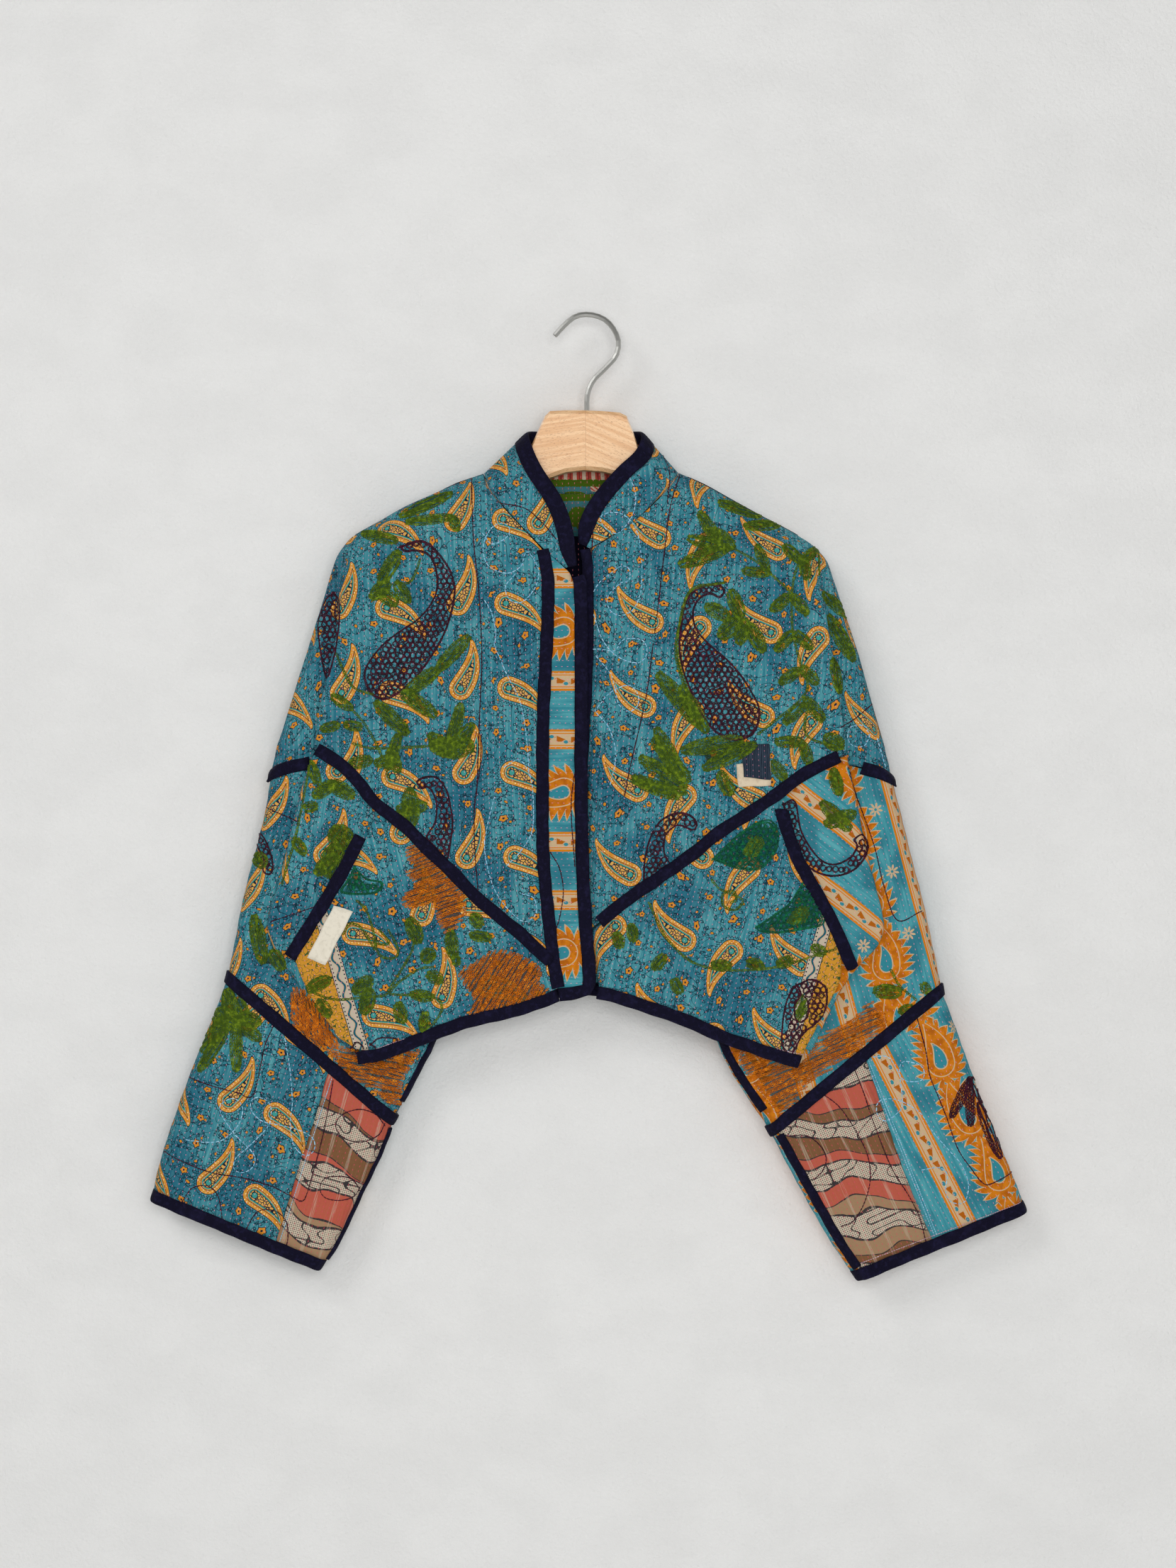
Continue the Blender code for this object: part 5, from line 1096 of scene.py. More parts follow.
class Jacket:
    """The jacket's cloth, laid over the frame's walls as thin shells."""

    LEVELS = 2
    SWELL = 0.00014
    PULL_REACH = 45.0
    FOLD_DEPTH = 0.012
    TUCKED = {"shoulder_binding_right": (0.0, 0.0012, -0.0020),
              "shoulder_binding_left": (0.0, 0.0012, -0.0020)}
    DRAWN_OUT = {"yoke_binding_right": [((766, 1341), (13, 15))],
                 "pocket_binding_left": [((1102, 1163), (-8, -22)), ((1193, 1340), (8, 26))]}

    def __init__(self, frame: dict, hang: Hang) -> None:
        """Keep the frame's nodes and the way the cloth hangs."""
        self.nodes = frame["nodes"]
        self.hang = hang
        self.shells: list[bpy.types.Object] = []

    def shell(self, node: str, name: str) -> bpy.types.Object:
        """Round a copy of a node's wall into a shell and let it hang.

        Args:
            node: The node that it follows.
            name: The shell's name.

        Returns:
            The shell, with its place in its mesh.
        """
        mesh = bpy.data.meshes.new(name + "_cage")
        bm = bmesh.new()
        bm.from_mesh(self.nodes[node].data)
        bmesh.ops.remove_doubles(bm, verts=bm.verts, dist=1e-6)
        bmesh.ops.join_triangles(bm, faces=bm.faces, cmp_seam=False, cmp_sharp=False, cmp_uvs=False,
                                 cmp_vcols=False, cmp_materials=False,
                                 angle_face_threshold=math.radians(38),
                                 angle_shape_threshold=math.radians(60))
        layer = bm.edges.layers.float.new("crease_edge")
        for edge in bm.edges:
            if edge.is_manifold and edge.calc_face_angle() > math.radians(50):
                edge[layer] = 1.0
        bm.to_mesh(mesh)
        bm.free()
        cage = bpy.data.objects.new(name + "_cage", mesh)
        bpy.context.scene.collection.objects.link(cage)
        finer = cage.modifiers.new("finer", "SUBSURF")
        finer.levels = finer.render_levels = self.LEVELS
        piece = settle_mesh(cage, name)
        co, normal = read_mesh(piece.data)
        moved = self.hang.move(co + normal * self.SWELL)
        moved += np.array(self.TUCKED.get(node, (0.0, 0.0, 0.0)))
        for spot, way in self.DRAWN_OUT.get(node, ()):
            away = np.linalg.norm(moved[:, [0, 2]] - at([spot])[0], axis=1) / UNIT
            moved[:, [0, 2]] += ease(1.0 - away / self.PULL_REACH)[:, None] * np.array(way) * (UNIT, -UNIT)
        piece.data.vertices.foreach_set("co", moved.ravel())
        piece.data.update()
        return piece

    @staticmethod
    def map_cloth(piece: bpy.types.Object, panel: Panel) -> None:
        """Give a shell its cloth map, in metres along the panel's grain.

        Args:
            piece: The shell.
            panel: Its grain's turn, start and face.
        """
        mesh = piece.data
        co, normal = read_mesh(mesh)
        sign = 1.0 if panel.face < 0 else -1.0
        deep = np.clip((co[:, 1] - panel.face) * sign, 0.0, Jacket.FOLD_DEPTH)[:, None]
        outward = np.sign(-normal[:, 1:2] * sign + 1e-6)
        flat = co[:, [0, 2]] + deep * normal[:, [0, 2]] * outward
        turn = math.radians(panel.turn)
        across = flat[:, 0] * math.cos(turn) + flat[:, 1] * math.sin(turn)
        up = flat[:, 1] * math.cos(turn) - flat[:, 0] * math.sin(turn)
        uv = np.stack([across + panel.start[0] * 0.001, up + panel.start[1] * 0.001], axis=1)
        corner = np.empty(len(mesh.loops), np.int32)
        mesh.loops.foreach_get("vertex_index", corner)
        layer = mesh.uv_layers.new(name=UV_NAME)
        layer.data.foreach_set("uv", uv[corner].astype(np.float32).ravel())
        if panel.border:
            start, end = at(panel.border)
            line = (end - start) / np.linalg.norm(end - start)
            past = (co[:, [0, 2]] - start) @ np.array([line[1], -line[0]]) * 1000.0 + 6.0
            held = mesh.attributes.new(BORDER_NAME, "FLOAT", "POINT")
            held.data.foreach_set("value", past.astype(np.float32))

    @staticmethod
    def line_inside(piece: bpy.types.Object, panel: Panel) -> None:
        """Give a shell's inner faces the lining."""
        piece.data.materials.append(material(panel.lining))
        for face in piece.data.polygons:
            if abs(face.normal.y) > 0.2 and face.normal.y * face.center.y < 0.0:
                face.material_index = 1

    def dress(self) -> None:
        """Make every panel with its trims, and give each its material."""
        for panel in PANELS:
            piece = self.shell(panel.node, panel.node + "_cloth")
            self.map_cloth(piece, panel)
            piece.data.materials.clear()
            piece.data.materials.append(material(panel.finish))
            if panel.lining:
                self.line_inside(piece, panel)
            self.attach(piece, panel.node)
            for node in panel.trims:
                trim = self.shell(node, node + "_cloth")
                trim.data.materials.clear()
                trim.data.materials.append(material(Finish.NAVY))
                self.attach(trim, node)
            self.shells.append(piece)

    @staticmethod
    def attach(piece: bpy.types.Object, node: str) -> None:
        """Put a piece in the place of a node."""
        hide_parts(node)
        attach(piece, "root")


def read_mesh(mesh: bpy.types.Mesh) -> tuple[np.ndarray, np.ndarray]:
    """Give a mesh's points and normals, a row each."""
    rows = []
    for name in ("co", "normal"):
        flat = np.empty(len(mesh.vertices) * 3)
        mesh.vertices.foreach_get(name, flat)
        rows.append(flat.reshape(-1, 3))
    return rows[0], rows[1]


def settle_mesh(source: bpy.types.Object, name: str) -> bpy.types.Object:
    """Turn an object with modifiers into a plain, smooth mesh, and remove the source.

    Args:
        source: The object to evaluate.
        name: The new object's name.

    Returns:
        The plain object, at the origin.
    """
    graph = bpy.context.evaluated_depsgraph_get()
    mesh = bpy.data.meshes.new_from_object(source.evaluated_get(graph))
    mesh.name = name
    old = source.data
    source.modifiers.clear()
    bpy.data.objects.remove(source)
    if old.users == 0:
        bpy.data.batch_remove([old])
    piece = bpy.data.objects.new(name, mesh)
    bpy.context.scene.collection.objects.link(piece)
    mesh.shade_smooth()
    return piece


def inside(outline: np.ndarray, spots: np.ndarray) -> np.ndarray:
    """Say which spots are inside an outline.

    Args:
        outline: The outline's points.
        spots: Rows of X and Z.

    Returns:
        One answer for each spot.
    """
    found = np.zeros(len(spots), bool)
    for a, b in zip(outline, np.roll(outline, -1, axis=0), strict=True):
        if a[1] != b[1]:
            crosses = (spots[:, 1] < a[1]) != (spots[:, 1] < b[1])
            reach = a[0] + (spots[:, 1] - a[1]) * (b[0] - a[0]) / (b[1] - a[1])
            found ^= crosses & (spots[:, 0] < reach)
    return found


def finger(row: tuple) -> np.ndarray:
    """Outline a finger-shaped leaf, given as its start, end and width."""
    start, end = at([row[:2]])[0], at([row[2:4]])[0]
    axis = (end - start) / np.linalg.norm(end - start)
    side = np.array([-axis[1], axis[0]])
    bulge = row[4] * UNIT * 0.5 * np.array([0.35, 0.78, 0.98, 1.0, 0.96, 0.8, 0.35])[:, None]
    mid = start + (end - start) * np.linspace(0.0, 1.0, 7)[:, None]
    return np.vstack([mid + side * bulge, (mid - side * bulge)[::-1]])


# Needlework by hand, in drawing units: leaves are start, end and width; the rest are paths.
GREEN_LEAVES = [
    (567, 729, 637, 698, 15), (576, 738, 640, 732, 12), (640, 732, 646, 750, 12), (512, 753, 561, 765, 14),
    (564, 781, 539, 824, 18), (527, 845, 551, 824, 18), (539, 836, 561, 854, 18), (561, 824, 579, 851, 15),
    (533, 992, 576, 1035, 18), (570, 977, 616, 1010, 18), (662, 900, 619, 946, 17),
    (619, 946, 576, 977, 18), (637, 1053, 652, 995, 15), (640, 1056, 668, 1023, 15),
    (613, 1047, 643, 1065, 18), (607, 1038, 634, 1053, 14), (472, 983, 499, 1001, 12),
    (457, 1029, 481, 1023, 12), (490, 1023, 512, 1026, 12), (533, 1078, 564, 1069, 15),
    (551, 1084, 564, 1038, 14), (1014, 710, 1072, 729, 15), (1050, 744, 1099, 741, 14),
    (986, 726, 1014, 769, 15), (959, 799, 1026, 775, 18), (971, 762, 1020, 775, 15),
    (1004, 750, 1032, 775, 18), (1066, 772, 1081, 808, 12), (1047, 808, 1084, 811, 12),
    (1105, 772, 1127, 793, 14), (1151, 775, 1127, 796, 12), (1136, 818, 1131, 787, 14),
    (1087, 863, 1112, 842, 14), (1136, 867, 1115, 842, 14), (1093, 919, 1115, 894, 14),
    (1142, 915, 1118, 894, 14), (1099, 964, 1124, 946, 14), (1150, 964, 1128, 943, 14),
    (1105, 1020, 1131, 995, 14), (1158, 1016, 1133, 986, 15), (1093, 1047, 1130, 1047, 14),
    (1139, 1078, 1131, 1050, 14), (1185, 1053, 1161, 1041, 21), (1029, 836, 1044, 873, 18),
    (995, 857, 1026, 873, 18), (1014, 900, 1041, 876, 21), (1041, 909, 1050, 876, 18),
    (1075, 919, 1053, 882, 18), (928, 952, 989, 1026, 21), (959, 971, 995, 1032, 18),
    (962, 1059, 1044, 1044, 21), (992, 1084, 1063, 1050, 18), (925, 1029, 962, 1099, 18),
    (903, 1069, 965, 1111, 18), (894, 1102, 965, 1118, 12), (1014, 1090, 1029, 1120, 18),
    (1087, 1075, 1105, 1099, 15), (1159, 839, 1197, 870, 15), (1167, 870, 1203, 931, 18),
    (1173, 931, 1182, 977, 14), (1176, 1090, 1182, 1120, 12), (551, 1059, 564, 1088, 16),
    (497, 1078, 526, 1072, 16), (580, 1113, 583, 1164, 22), (564, 1142, 602, 1136, 19),
    (446, 1123, 475, 1104, 16), (468, 1104, 500, 1123, 19), (472, 1168, 494, 1193, 32),
    (478, 1193, 465, 1235, 32), (449, 1231, 478, 1206, 19), (417, 1183, 433, 1203, 13),
    (440, 1075, 452, 1104, 13), (433, 1139, 449, 1136, 13), (580, 1295, 593, 1327, 19),
    (669, 1289, 679, 1305, 16), (666, 1317, 692, 1321, 13), (637, 1311, 641, 1349, 16),
    (641, 1352, 649, 1352, 16), (599, 1352, 612, 1340, 19), (606, 1372, 625, 1381, 16),
    (503, 1397, 526, 1378, 19), (516, 1426, 526, 1394, 19), (564, 1413, 570, 1439, 16),
    (583, 1400, 612, 1404, 14), (437, 1394, 468, 1378, 16), (452, 1410, 468, 1429, 16),
    (599, 1451, 602, 1426, 13), (360, 1206, 376, 1219, 19), (360, 1292, 373, 1356, 19),
    (386, 1340, 401, 1365, 19), (927, 1052, 970, 1101, 18), (893, 1098, 955, 1123, 18),
    (924, 1040, 930, 1058, 15), (1172, 1086, 1181, 1120, 15), (1157, 1132, 1196, 1169, 18),
    (1163, 1162, 1203, 1147, 18), (869, 1315, 875, 1334, 15), (890, 1303, 893, 1325, 14),
    (936, 1346, 921, 1364, 14), (949, 1380, 958, 1398, 14), (1004, 1358, 1028, 1361, 14),
    (1053, 1355, 1074, 1361, 14), (1095, 1358, 1114, 1352, 14), (1144, 1334, 1160, 1343, 14),
    (322, 1395, 344, 1441, 31), (301, 1429, 338, 1441, 28), (322, 1432, 286, 1481, 18),
    (335, 1441, 335, 1508, 15), (344, 1444, 368, 1465, 15), (341, 1432, 368, 1441, 18),
    (322, 1450, 283, 1508, 14), (1232, 1396, 1268, 1399, 18), (1301, 1387, 1307, 1399, 12),
    (1268, 1426, 1286, 1420, 12),
]
PLUM_LEAVES = [
    (1367, 1519, 1340, 1573, 12), (1365, 1522, 1367, 1585, 12), (1373, 1519, 1385, 1552, 15),
    (1379, 1555, 1409, 1630, 15),
]
PLUM_NETS = [
    [(567, 773), (594, 765), (613, 775), (634, 802), (643, 830), (640, 860), (628, 897), (606, 934),
     (582, 964), (551, 986), (530, 983), (518, 964), (519, 943), (539, 915), (564, 894), (591, 876),
     (610, 854), (619, 830), (616, 802), (606, 784), (588, 778), (573, 779)],
    [(1020, 836), (1014, 828), (995, 827), (977, 836), (965, 854), (960, 882), (957, 915), (962, 946),
     (971, 971), (983, 998), (1001, 1026), (1020, 1041), (1038, 1044), (1057, 1038), (1067, 1023),
     (1069, 1001), (1060, 980), (1044, 955), (1026, 934), (1004, 915), (986, 897), (977, 879),
     (977, 860), (986, 845), (1001, 839), (1014, 844)],
    [(593, 1107), (590, 1102), (602, 1096), (618, 1097), (631, 1113), (637, 1136), (640, 1161),
     (637, 1187), (631, 1212), (615, 1193), (604, 1180), (615, 1161), (618, 1139), (615, 1123),
     (606, 1110), (596, 1112)],
    [(362, 1171), (373, 1180), (382, 1199), (387, 1222), (382, 1233), (373, 1228), (374, 1212),
     (366, 1196), (360, 1183)],
    [(1121, 1387), (1142, 1379), (1160, 1388), (1164, 1405), (1160, 1426), (1148, 1441), (1130, 1456),
     (1115, 1483), (1110, 1483), (1101, 1471), (1101, 1447), (1104, 1423), (1110, 1402), (1121, 1387),
     (1127, 1399), (1136, 1408), (1137, 1429), (1127, 1439), (1119, 1432), (1119, 1414), (1127, 1399)],
    [(907, 1251), (909, 1211), (918, 1178), (933, 1156), (955, 1146), (973, 1150), (982, 1162),
     (976, 1170), (964, 1165), (952, 1164), (938, 1178), (936, 1202), (945, 1224), (926, 1238)],
    [(1103, 1134), (1112, 1178), (1138, 1221), (1172, 1235), (1205, 1224), (1223, 1196), (1215, 1177),
     (1203, 1184), (1207, 1193), (1196, 1210), (1172, 1219), (1150, 1207), (1128, 1172), (1119, 1130)],
    [(472, 837), (481, 850), (481, 885), (475, 925), (463, 958), (453, 915), (450, 879), (460, 848)],
]
FOREST_NETS = [
    [(503, 1222), (519, 1238), (542, 1244), (535, 1257), (510, 1260), (484, 1257), (491, 1244)],
    [(1004, 1211), (1016, 1199), (1046, 1172), (1080, 1156), (1095, 1172), (1092, 1199), (1071, 1224),
     (1040, 1224), (1019, 1217)],
    [(1065, 1306), (1083, 1294), (1111, 1273), (1126, 1251), (1135, 1245), (1160, 1297), (1129, 1309),
     (1095, 1314), (1071, 1312)],
]
GREEN_HEARTS = [
    [(1044, 1199), (1058, 1183), (1073, 1184), (1072, 1200), (1058, 1206)],
    [(1121, 1414), (1128, 1402), (1135, 1412), (1134, 1430), (1127, 1436), (1121, 1430)],
    [(1108, 1297), (1120, 1282), (1136, 1280), (1137, 1294), (1122, 1301)],
]
BUDS = [
    [(609, 1046), (634, 1040), (663, 1043), (668, 1059), (647, 1069), (625, 1066), (612, 1059)],
]
MUSTARD_FILLS = [
    [(580, 1190), (596, 1193), (625, 1219), (628, 1231), (647, 1250), (657, 1276), (653, 1295),
     (634, 1314), (621, 1295), (615, 1270), (596, 1279), (574, 1276), (574, 1260), (590, 1247),
     (577, 1228), (590, 1222), (577, 1206)],
    [(666, 1359), (698, 1340), (733, 1346), (765, 1368), (759, 1384), (775, 1397), (736, 1413),
     (679, 1429), (663, 1423), (672, 1407), (657, 1384), (650, 1368)],
    [(414, 1394), (433, 1397), (465, 1439), (481, 1474), (456, 1467), (424, 1442), (413, 1416)],
    [(414, 1413), (433, 1420), (451, 1432), (475, 1459), (482, 1469), (469, 1475), (445, 1472),
     (423, 1456), (414, 1438)],
    [(463, 1481), (494, 1475), (531, 1496), (561, 1487), (592, 1475), (580, 1499), (567, 1524),
     (564, 1560), (546, 1551), (524, 1530), (503, 1524), (485, 1505)],
    [(1139, 1486), (1160, 1459), (1190, 1441), (1214, 1426), (1220, 1414), (1235, 1417), (1247, 1447),
     (1208, 1480), (1166, 1510), (1139, 1528), (1109, 1567), (1100, 1570), (1040, 1492), (1040, 1480),
     (1064, 1489), (1115, 1501), (1133, 1495)],
]
GREEN_VINES = [
    [(1032, 775), (1063, 793), (1084, 811), (1115, 839)],
    [(1154, 811), (1151, 772), (1124, 799), (1115, 839), (1116, 894), (1128, 943), (1133, 980),
     (1069, 1035)],
    [(1136, 995), (1136, 1038), (1185, 1056)],
    [(1020, 824), (974, 836), (959, 873), (955, 915), (962, 952), (983, 1007)],
    [(1017, 825), (975, 833), (961, 870), (952, 915), (959, 954), (980, 1009)],
    [(503, 1050), (532, 1056), (609, 1053)],
    [(440, 1081), (421, 1174), (408, 1219), (401, 1244)],
    [(443, 1397), (475, 1407), (519, 1404), (548, 1400), (564, 1384), (593, 1365), (612, 1362)],
    [(551, 1394), (580, 1346), (586, 1327)],
    [(555, 1400), (612, 1404), (625, 1419), (615, 1439), (599, 1451)],
    [(488, 1314), (497, 1301), (513, 1308), (532, 1337), (529, 1311), (519, 1282), (507, 1270)],
    [(539, 1311), (551, 1327), (539, 1330), (532, 1324)],
    [(529, 1324), (539, 1346), (558, 1349), (564, 1337), (551, 1311)],
    [(594, 793), (588, 811), (579, 824), (564, 824)],
    [(527, 980), (502, 971), (487, 946), (478, 925)],
    [(499, 1001), (518, 1023), (539, 1062), (551, 1099)],
    [(1256, 1369), (1268, 1390), (1289, 1408)],
    [(915, 1273), (942, 1325), (991, 1361), (1080, 1364), (1175, 1337)],
    [(1004, 1242), (1016, 1254), (1045, 1267), (1040, 1279), (1031, 1282), (1019, 1276), (1017, 1263),
     (1025, 1256), (1034, 1257), (1037, 1267), (1031, 1271)],
]
PLUM_RUNS = [
    [(934, 640), (944, 668), (941, 710)],
    [(962, 661), (945, 717), (936, 784), (928, 854), (920, 915), (913, 971), (903, 1020), (890, 1075),
     (881, 1120)],
    [(836, 729), (836, 762), (832, 811)],
    [(1185, 1026), (1206, 1013), (1231, 992)],
    [(1194, 1084), (1206, 1120)],
    [(680, 1040), (679, 1078), (671, 1136), (671, 1193), (676, 1260)],
    [(811, 1040), (813, 1072), (806, 1136), (811, 1219)],
    [(778, 1203), (790, 1225), (795, 1257), (790, 1292), (784, 1311)],
    [(370, 1136), (421, 1158)],
    [(387, 1298), (452, 1276)],
    [(387, 1447), (376, 1472), (370, 1499), (358, 1544), (335, 1539), (304, 1531), (267, 1518)],
    [(471, 1524), (466, 1554), (457, 1600), (445, 1646), (434, 1683), (427, 1692), (414, 1686),
     (384, 1671), (347, 1660), (301, 1652), (261, 1637), (234, 1623)],
    [(258, 1695), (273, 1674), (295, 1671), (310, 1686), (316, 1720)],
    [(347, 1735), (365, 1707), (390, 1706), (405, 1720), (408, 1741), (405, 1759)],
    [(543, 1585), (531, 1570), (509, 1563), (485, 1570), (475, 1585), (485, 1602), (509, 1609),
     (534, 1600), (543, 1585)],
    [(508, 1674), (497, 1661), (480, 1657), (460, 1660), (453, 1674), (460, 1687), (480, 1691),
     (500, 1686), (508, 1674)],
    [(1293, 1438), (1304, 1480), (1310, 1516), (1322, 1546), (1334, 1576), (1349, 1618), (1367, 1645),
     (1385, 1667), (1400, 1666), (1433, 1649)],
    [(1203, 1504), (1217, 1540), (1232, 1585), (1256, 1645), (1280, 1684), (1295, 1714), (1304, 1747)],
    [(1158, 1540), (1184, 1561), (1208, 1597), (1223, 1630), (1226, 1663), (1217, 1696), (1202, 1720),
     (1187, 1727)],
    [(1115, 1600), (1136, 1600), (1154, 1612), (1164, 1630), (1160, 1648), (1149, 1660)],
    [(666, 674), (669, 762), (677, 839), (681, 931), (678, 1007), (674, 1118)],
    [(704, 712), (741, 720), (766, 741), (784, 762)],
    [(1196, 1095), (1230, 1187), (1245, 1248), (1264, 1297), (1298, 1285)],
]
PLUM_LINES = [
    [(497, 1477), (507, 1467), (516, 1477), (507, 1486), (500, 1477)],
    [(526, 1470), (539, 1461), (564, 1464), (539, 1477), (526, 1470)],
]
SKY_RUNS = [
    [(887, 674), (896, 698), (894, 723), (885, 741), (870, 755), (853, 747), (847, 732), (861, 726),
     (879, 729), (896, 747), (903, 778), (905, 811), (902, 842), (891, 863), (873, 870), (859, 860),
     (858, 842), (876, 824), (887, 821), (887, 805), (876, 801), (861, 811), (845, 824), (836, 839)],
    [(836, 863), (848, 900), (864, 922), (885, 934), (903, 935), (912, 922), (907, 906), (888, 902),
     (876, 906), (867, 919), (848, 917), (835, 917)],
    [(842, 928), (861, 952), (868, 974), (873, 995), (888, 1004), (899, 995), (899, 980), (888, 968),
     (873, 971), (858, 980), (848, 992), (839, 1004), (842, 1007), (858, 1026), (867, 1053), (867, 1078),
     (861, 1105)],
    [(1225, 1038), (1220, 1050), (1210, 1054), (1199, 1050), (1194, 1038), (1199, 1026), (1210, 1023),
     (1220, 1026), (1225, 1038)],
    [(1237, 1044), (1246, 1075), (1252, 1099)],
    [(683, 756), (695, 770), (714, 762), (720, 750), (711, 741), (695, 747), (683, 772), (689, 799),
     (714, 811), (735, 802), (744, 781), (760, 805), (756, 830), (738, 851), (720, 848), (714, 830),
     (726, 814)],
    [(686, 851), (695, 867), (701, 900), (698, 909), (708, 934), (717, 955), (735, 992), (744, 1047),
     (747, 1093)],
    [(714, 1081), (733, 1072), (746, 1088), (752, 1113), (752, 1168), (736, 1199), (717, 1219)],
    [(698, 1126), (688, 1168), (685, 1199), (695, 1244), (711, 1273), (733, 1295), (746, 1297),
     (757, 1286), (754, 1266), (739, 1260)],
    [(404, 1465), (411, 1508), (414, 1554), (411, 1585), (417, 1615), (433, 1628), (445, 1619),
     (442, 1603), (420, 1591), (396, 1585), (371, 1579), (356, 1563), (359, 1548), (374, 1548),
     (384, 1560), (381, 1585), (353, 1615), (335, 1631), (332, 1646), (344, 1652), (359, 1643),
     (359, 1625), (332, 1597), (313, 1567), (316, 1554), (332, 1548), (344, 1560), (338, 1585),
     (316, 1606), (292, 1609), (267, 1606)],
    [(1232, 1489), (1250, 1489), (1262, 1504), (1274, 1522), (1298, 1522), (1301, 1507), (1289, 1498),
     (1268, 1501), (1271, 1555), (1262, 1570), (1247, 1579), (1236, 1570), (1238, 1552), (1262, 1549),
     (1295, 1567), (1316, 1597), (1340, 1624), (1355, 1642), (1364, 1669), (1358, 1693), (1340, 1693),
     (1332, 1678), (1334, 1654), (1322, 1645), (1301, 1648)],
]


TOP_RUNS = [
    [(503, 1487), (600, 1453), (690, 1425), (786, 1396)],
    [(843, 1391), (900, 1411), (950, 1427), (1040, 1462), (1136, 1486)],
    [(330, 1726), (395, 1752), (460, 1778)],
    [(1202, 1783), (1322, 1738), (1442, 1693)],
]
EDGE_RUNS = [
    [(469, 1521), (432, 1636), (396, 1750)],
    [(1223, 1492), (1271, 1615), (1319, 1738)],
    [(1220, 1494), (1268, 1617), (1316, 1740)],
]
BACK_LEAVES = [
    (640, 820, 690, 860, 18), (690, 800, 696, 856, 16), (742, 846, 700, 864, 18), (668, 900, 696, 872, 15),
    (960, 800, 930, 850, 18), (1000, 850, 942, 858, 16), (950, 900, 934, 866, 16), (900, 830, 926, 852, 14),
    (560, 930, 600, 970, 17), (640, 930, 608, 968, 17), (590, 1020, 604, 980, 15),
    (1060, 930, 1030, 970, 17),
    (1100, 970, 1038, 978, 17), (1050, 1030, 1032, 986, 15), (800, 960, 824, 1004, 18),
    (860, 960, 832, 1004, 18),
    (826, 1060, 828, 1012, 16), (700, 1230, 744, 1262, 18), (790, 1220, 752, 1262, 18),
    (748, 1320, 748, 1270, 16),
    (900, 1240, 934, 1278, 18), (980, 1240, 942, 1278, 18), (940, 1340, 938, 1286, 16),
    (560, 1250, 596, 1290, 18),
    (640, 1260, 604, 1292, 16), (1080, 1250, 1052, 1290, 18), (1010, 1300, 1046, 1298, 16),
]
BACK_VINES = [
    [(696, 866), (730, 930), (790, 970), (828, 1008)], [(934, 860), (900, 930), (860, 975), (828, 1008)],
    [(604, 974), (650, 1010), (720, 1030), (790, 1020), (828, 1008)],
    [(1034, 978), (990, 1020), (930, 1036), (870, 1020), (828, 1008)],
    [(600, 1294), (640, 1330), (700, 1320), (748, 1266)],
    [(748, 1266), (800, 1330), (880, 1340), (938, 1282)],
    [(938, 1282), (970, 1340), (1020, 1340), (1050, 1296)],
]
BACK_RUNS = [
    [(620, 760), (660, 840), (650, 930), (690, 1010), (680, 1110)],
    [(1030, 760), (990, 840), (1000, 930), (960, 1010), (970, 1110)],
    [(520, 1220), (560, 1300), (540, 1400)], [(1130, 1210), (1090, 1300), (1110, 1400)],
    [(780, 740), (800, 780), (840, 790), (870, 760), (850, 730), (810, 740), (800, 790), (820, 850)],
]
BACK_FILLS = [
    [(480, 1300), (520, 1290), (548, 1330), (540, 1390), (500, 1400), (470, 1360)],
    [(1180, 1290), (1140, 1280), (1112, 1330), (1120, 1390), (1160, 1396), (1190, 1350)],
]


class Stitch(Enum):
    """The stitches, each with its pitch, length, width and thread in mm."""

    CHAIN = (2.7, 3.6, 1.4, 0.52)
    RING = (2.4, 3.1, 0.7, 0.42)
    BACK = (3.1, 3.1, 0.0, 0.52)
    RUN = (4.2, 3.0, 0.0, 0.46)
    TOP = (2.1, 1.4, 0.0, 0.34)


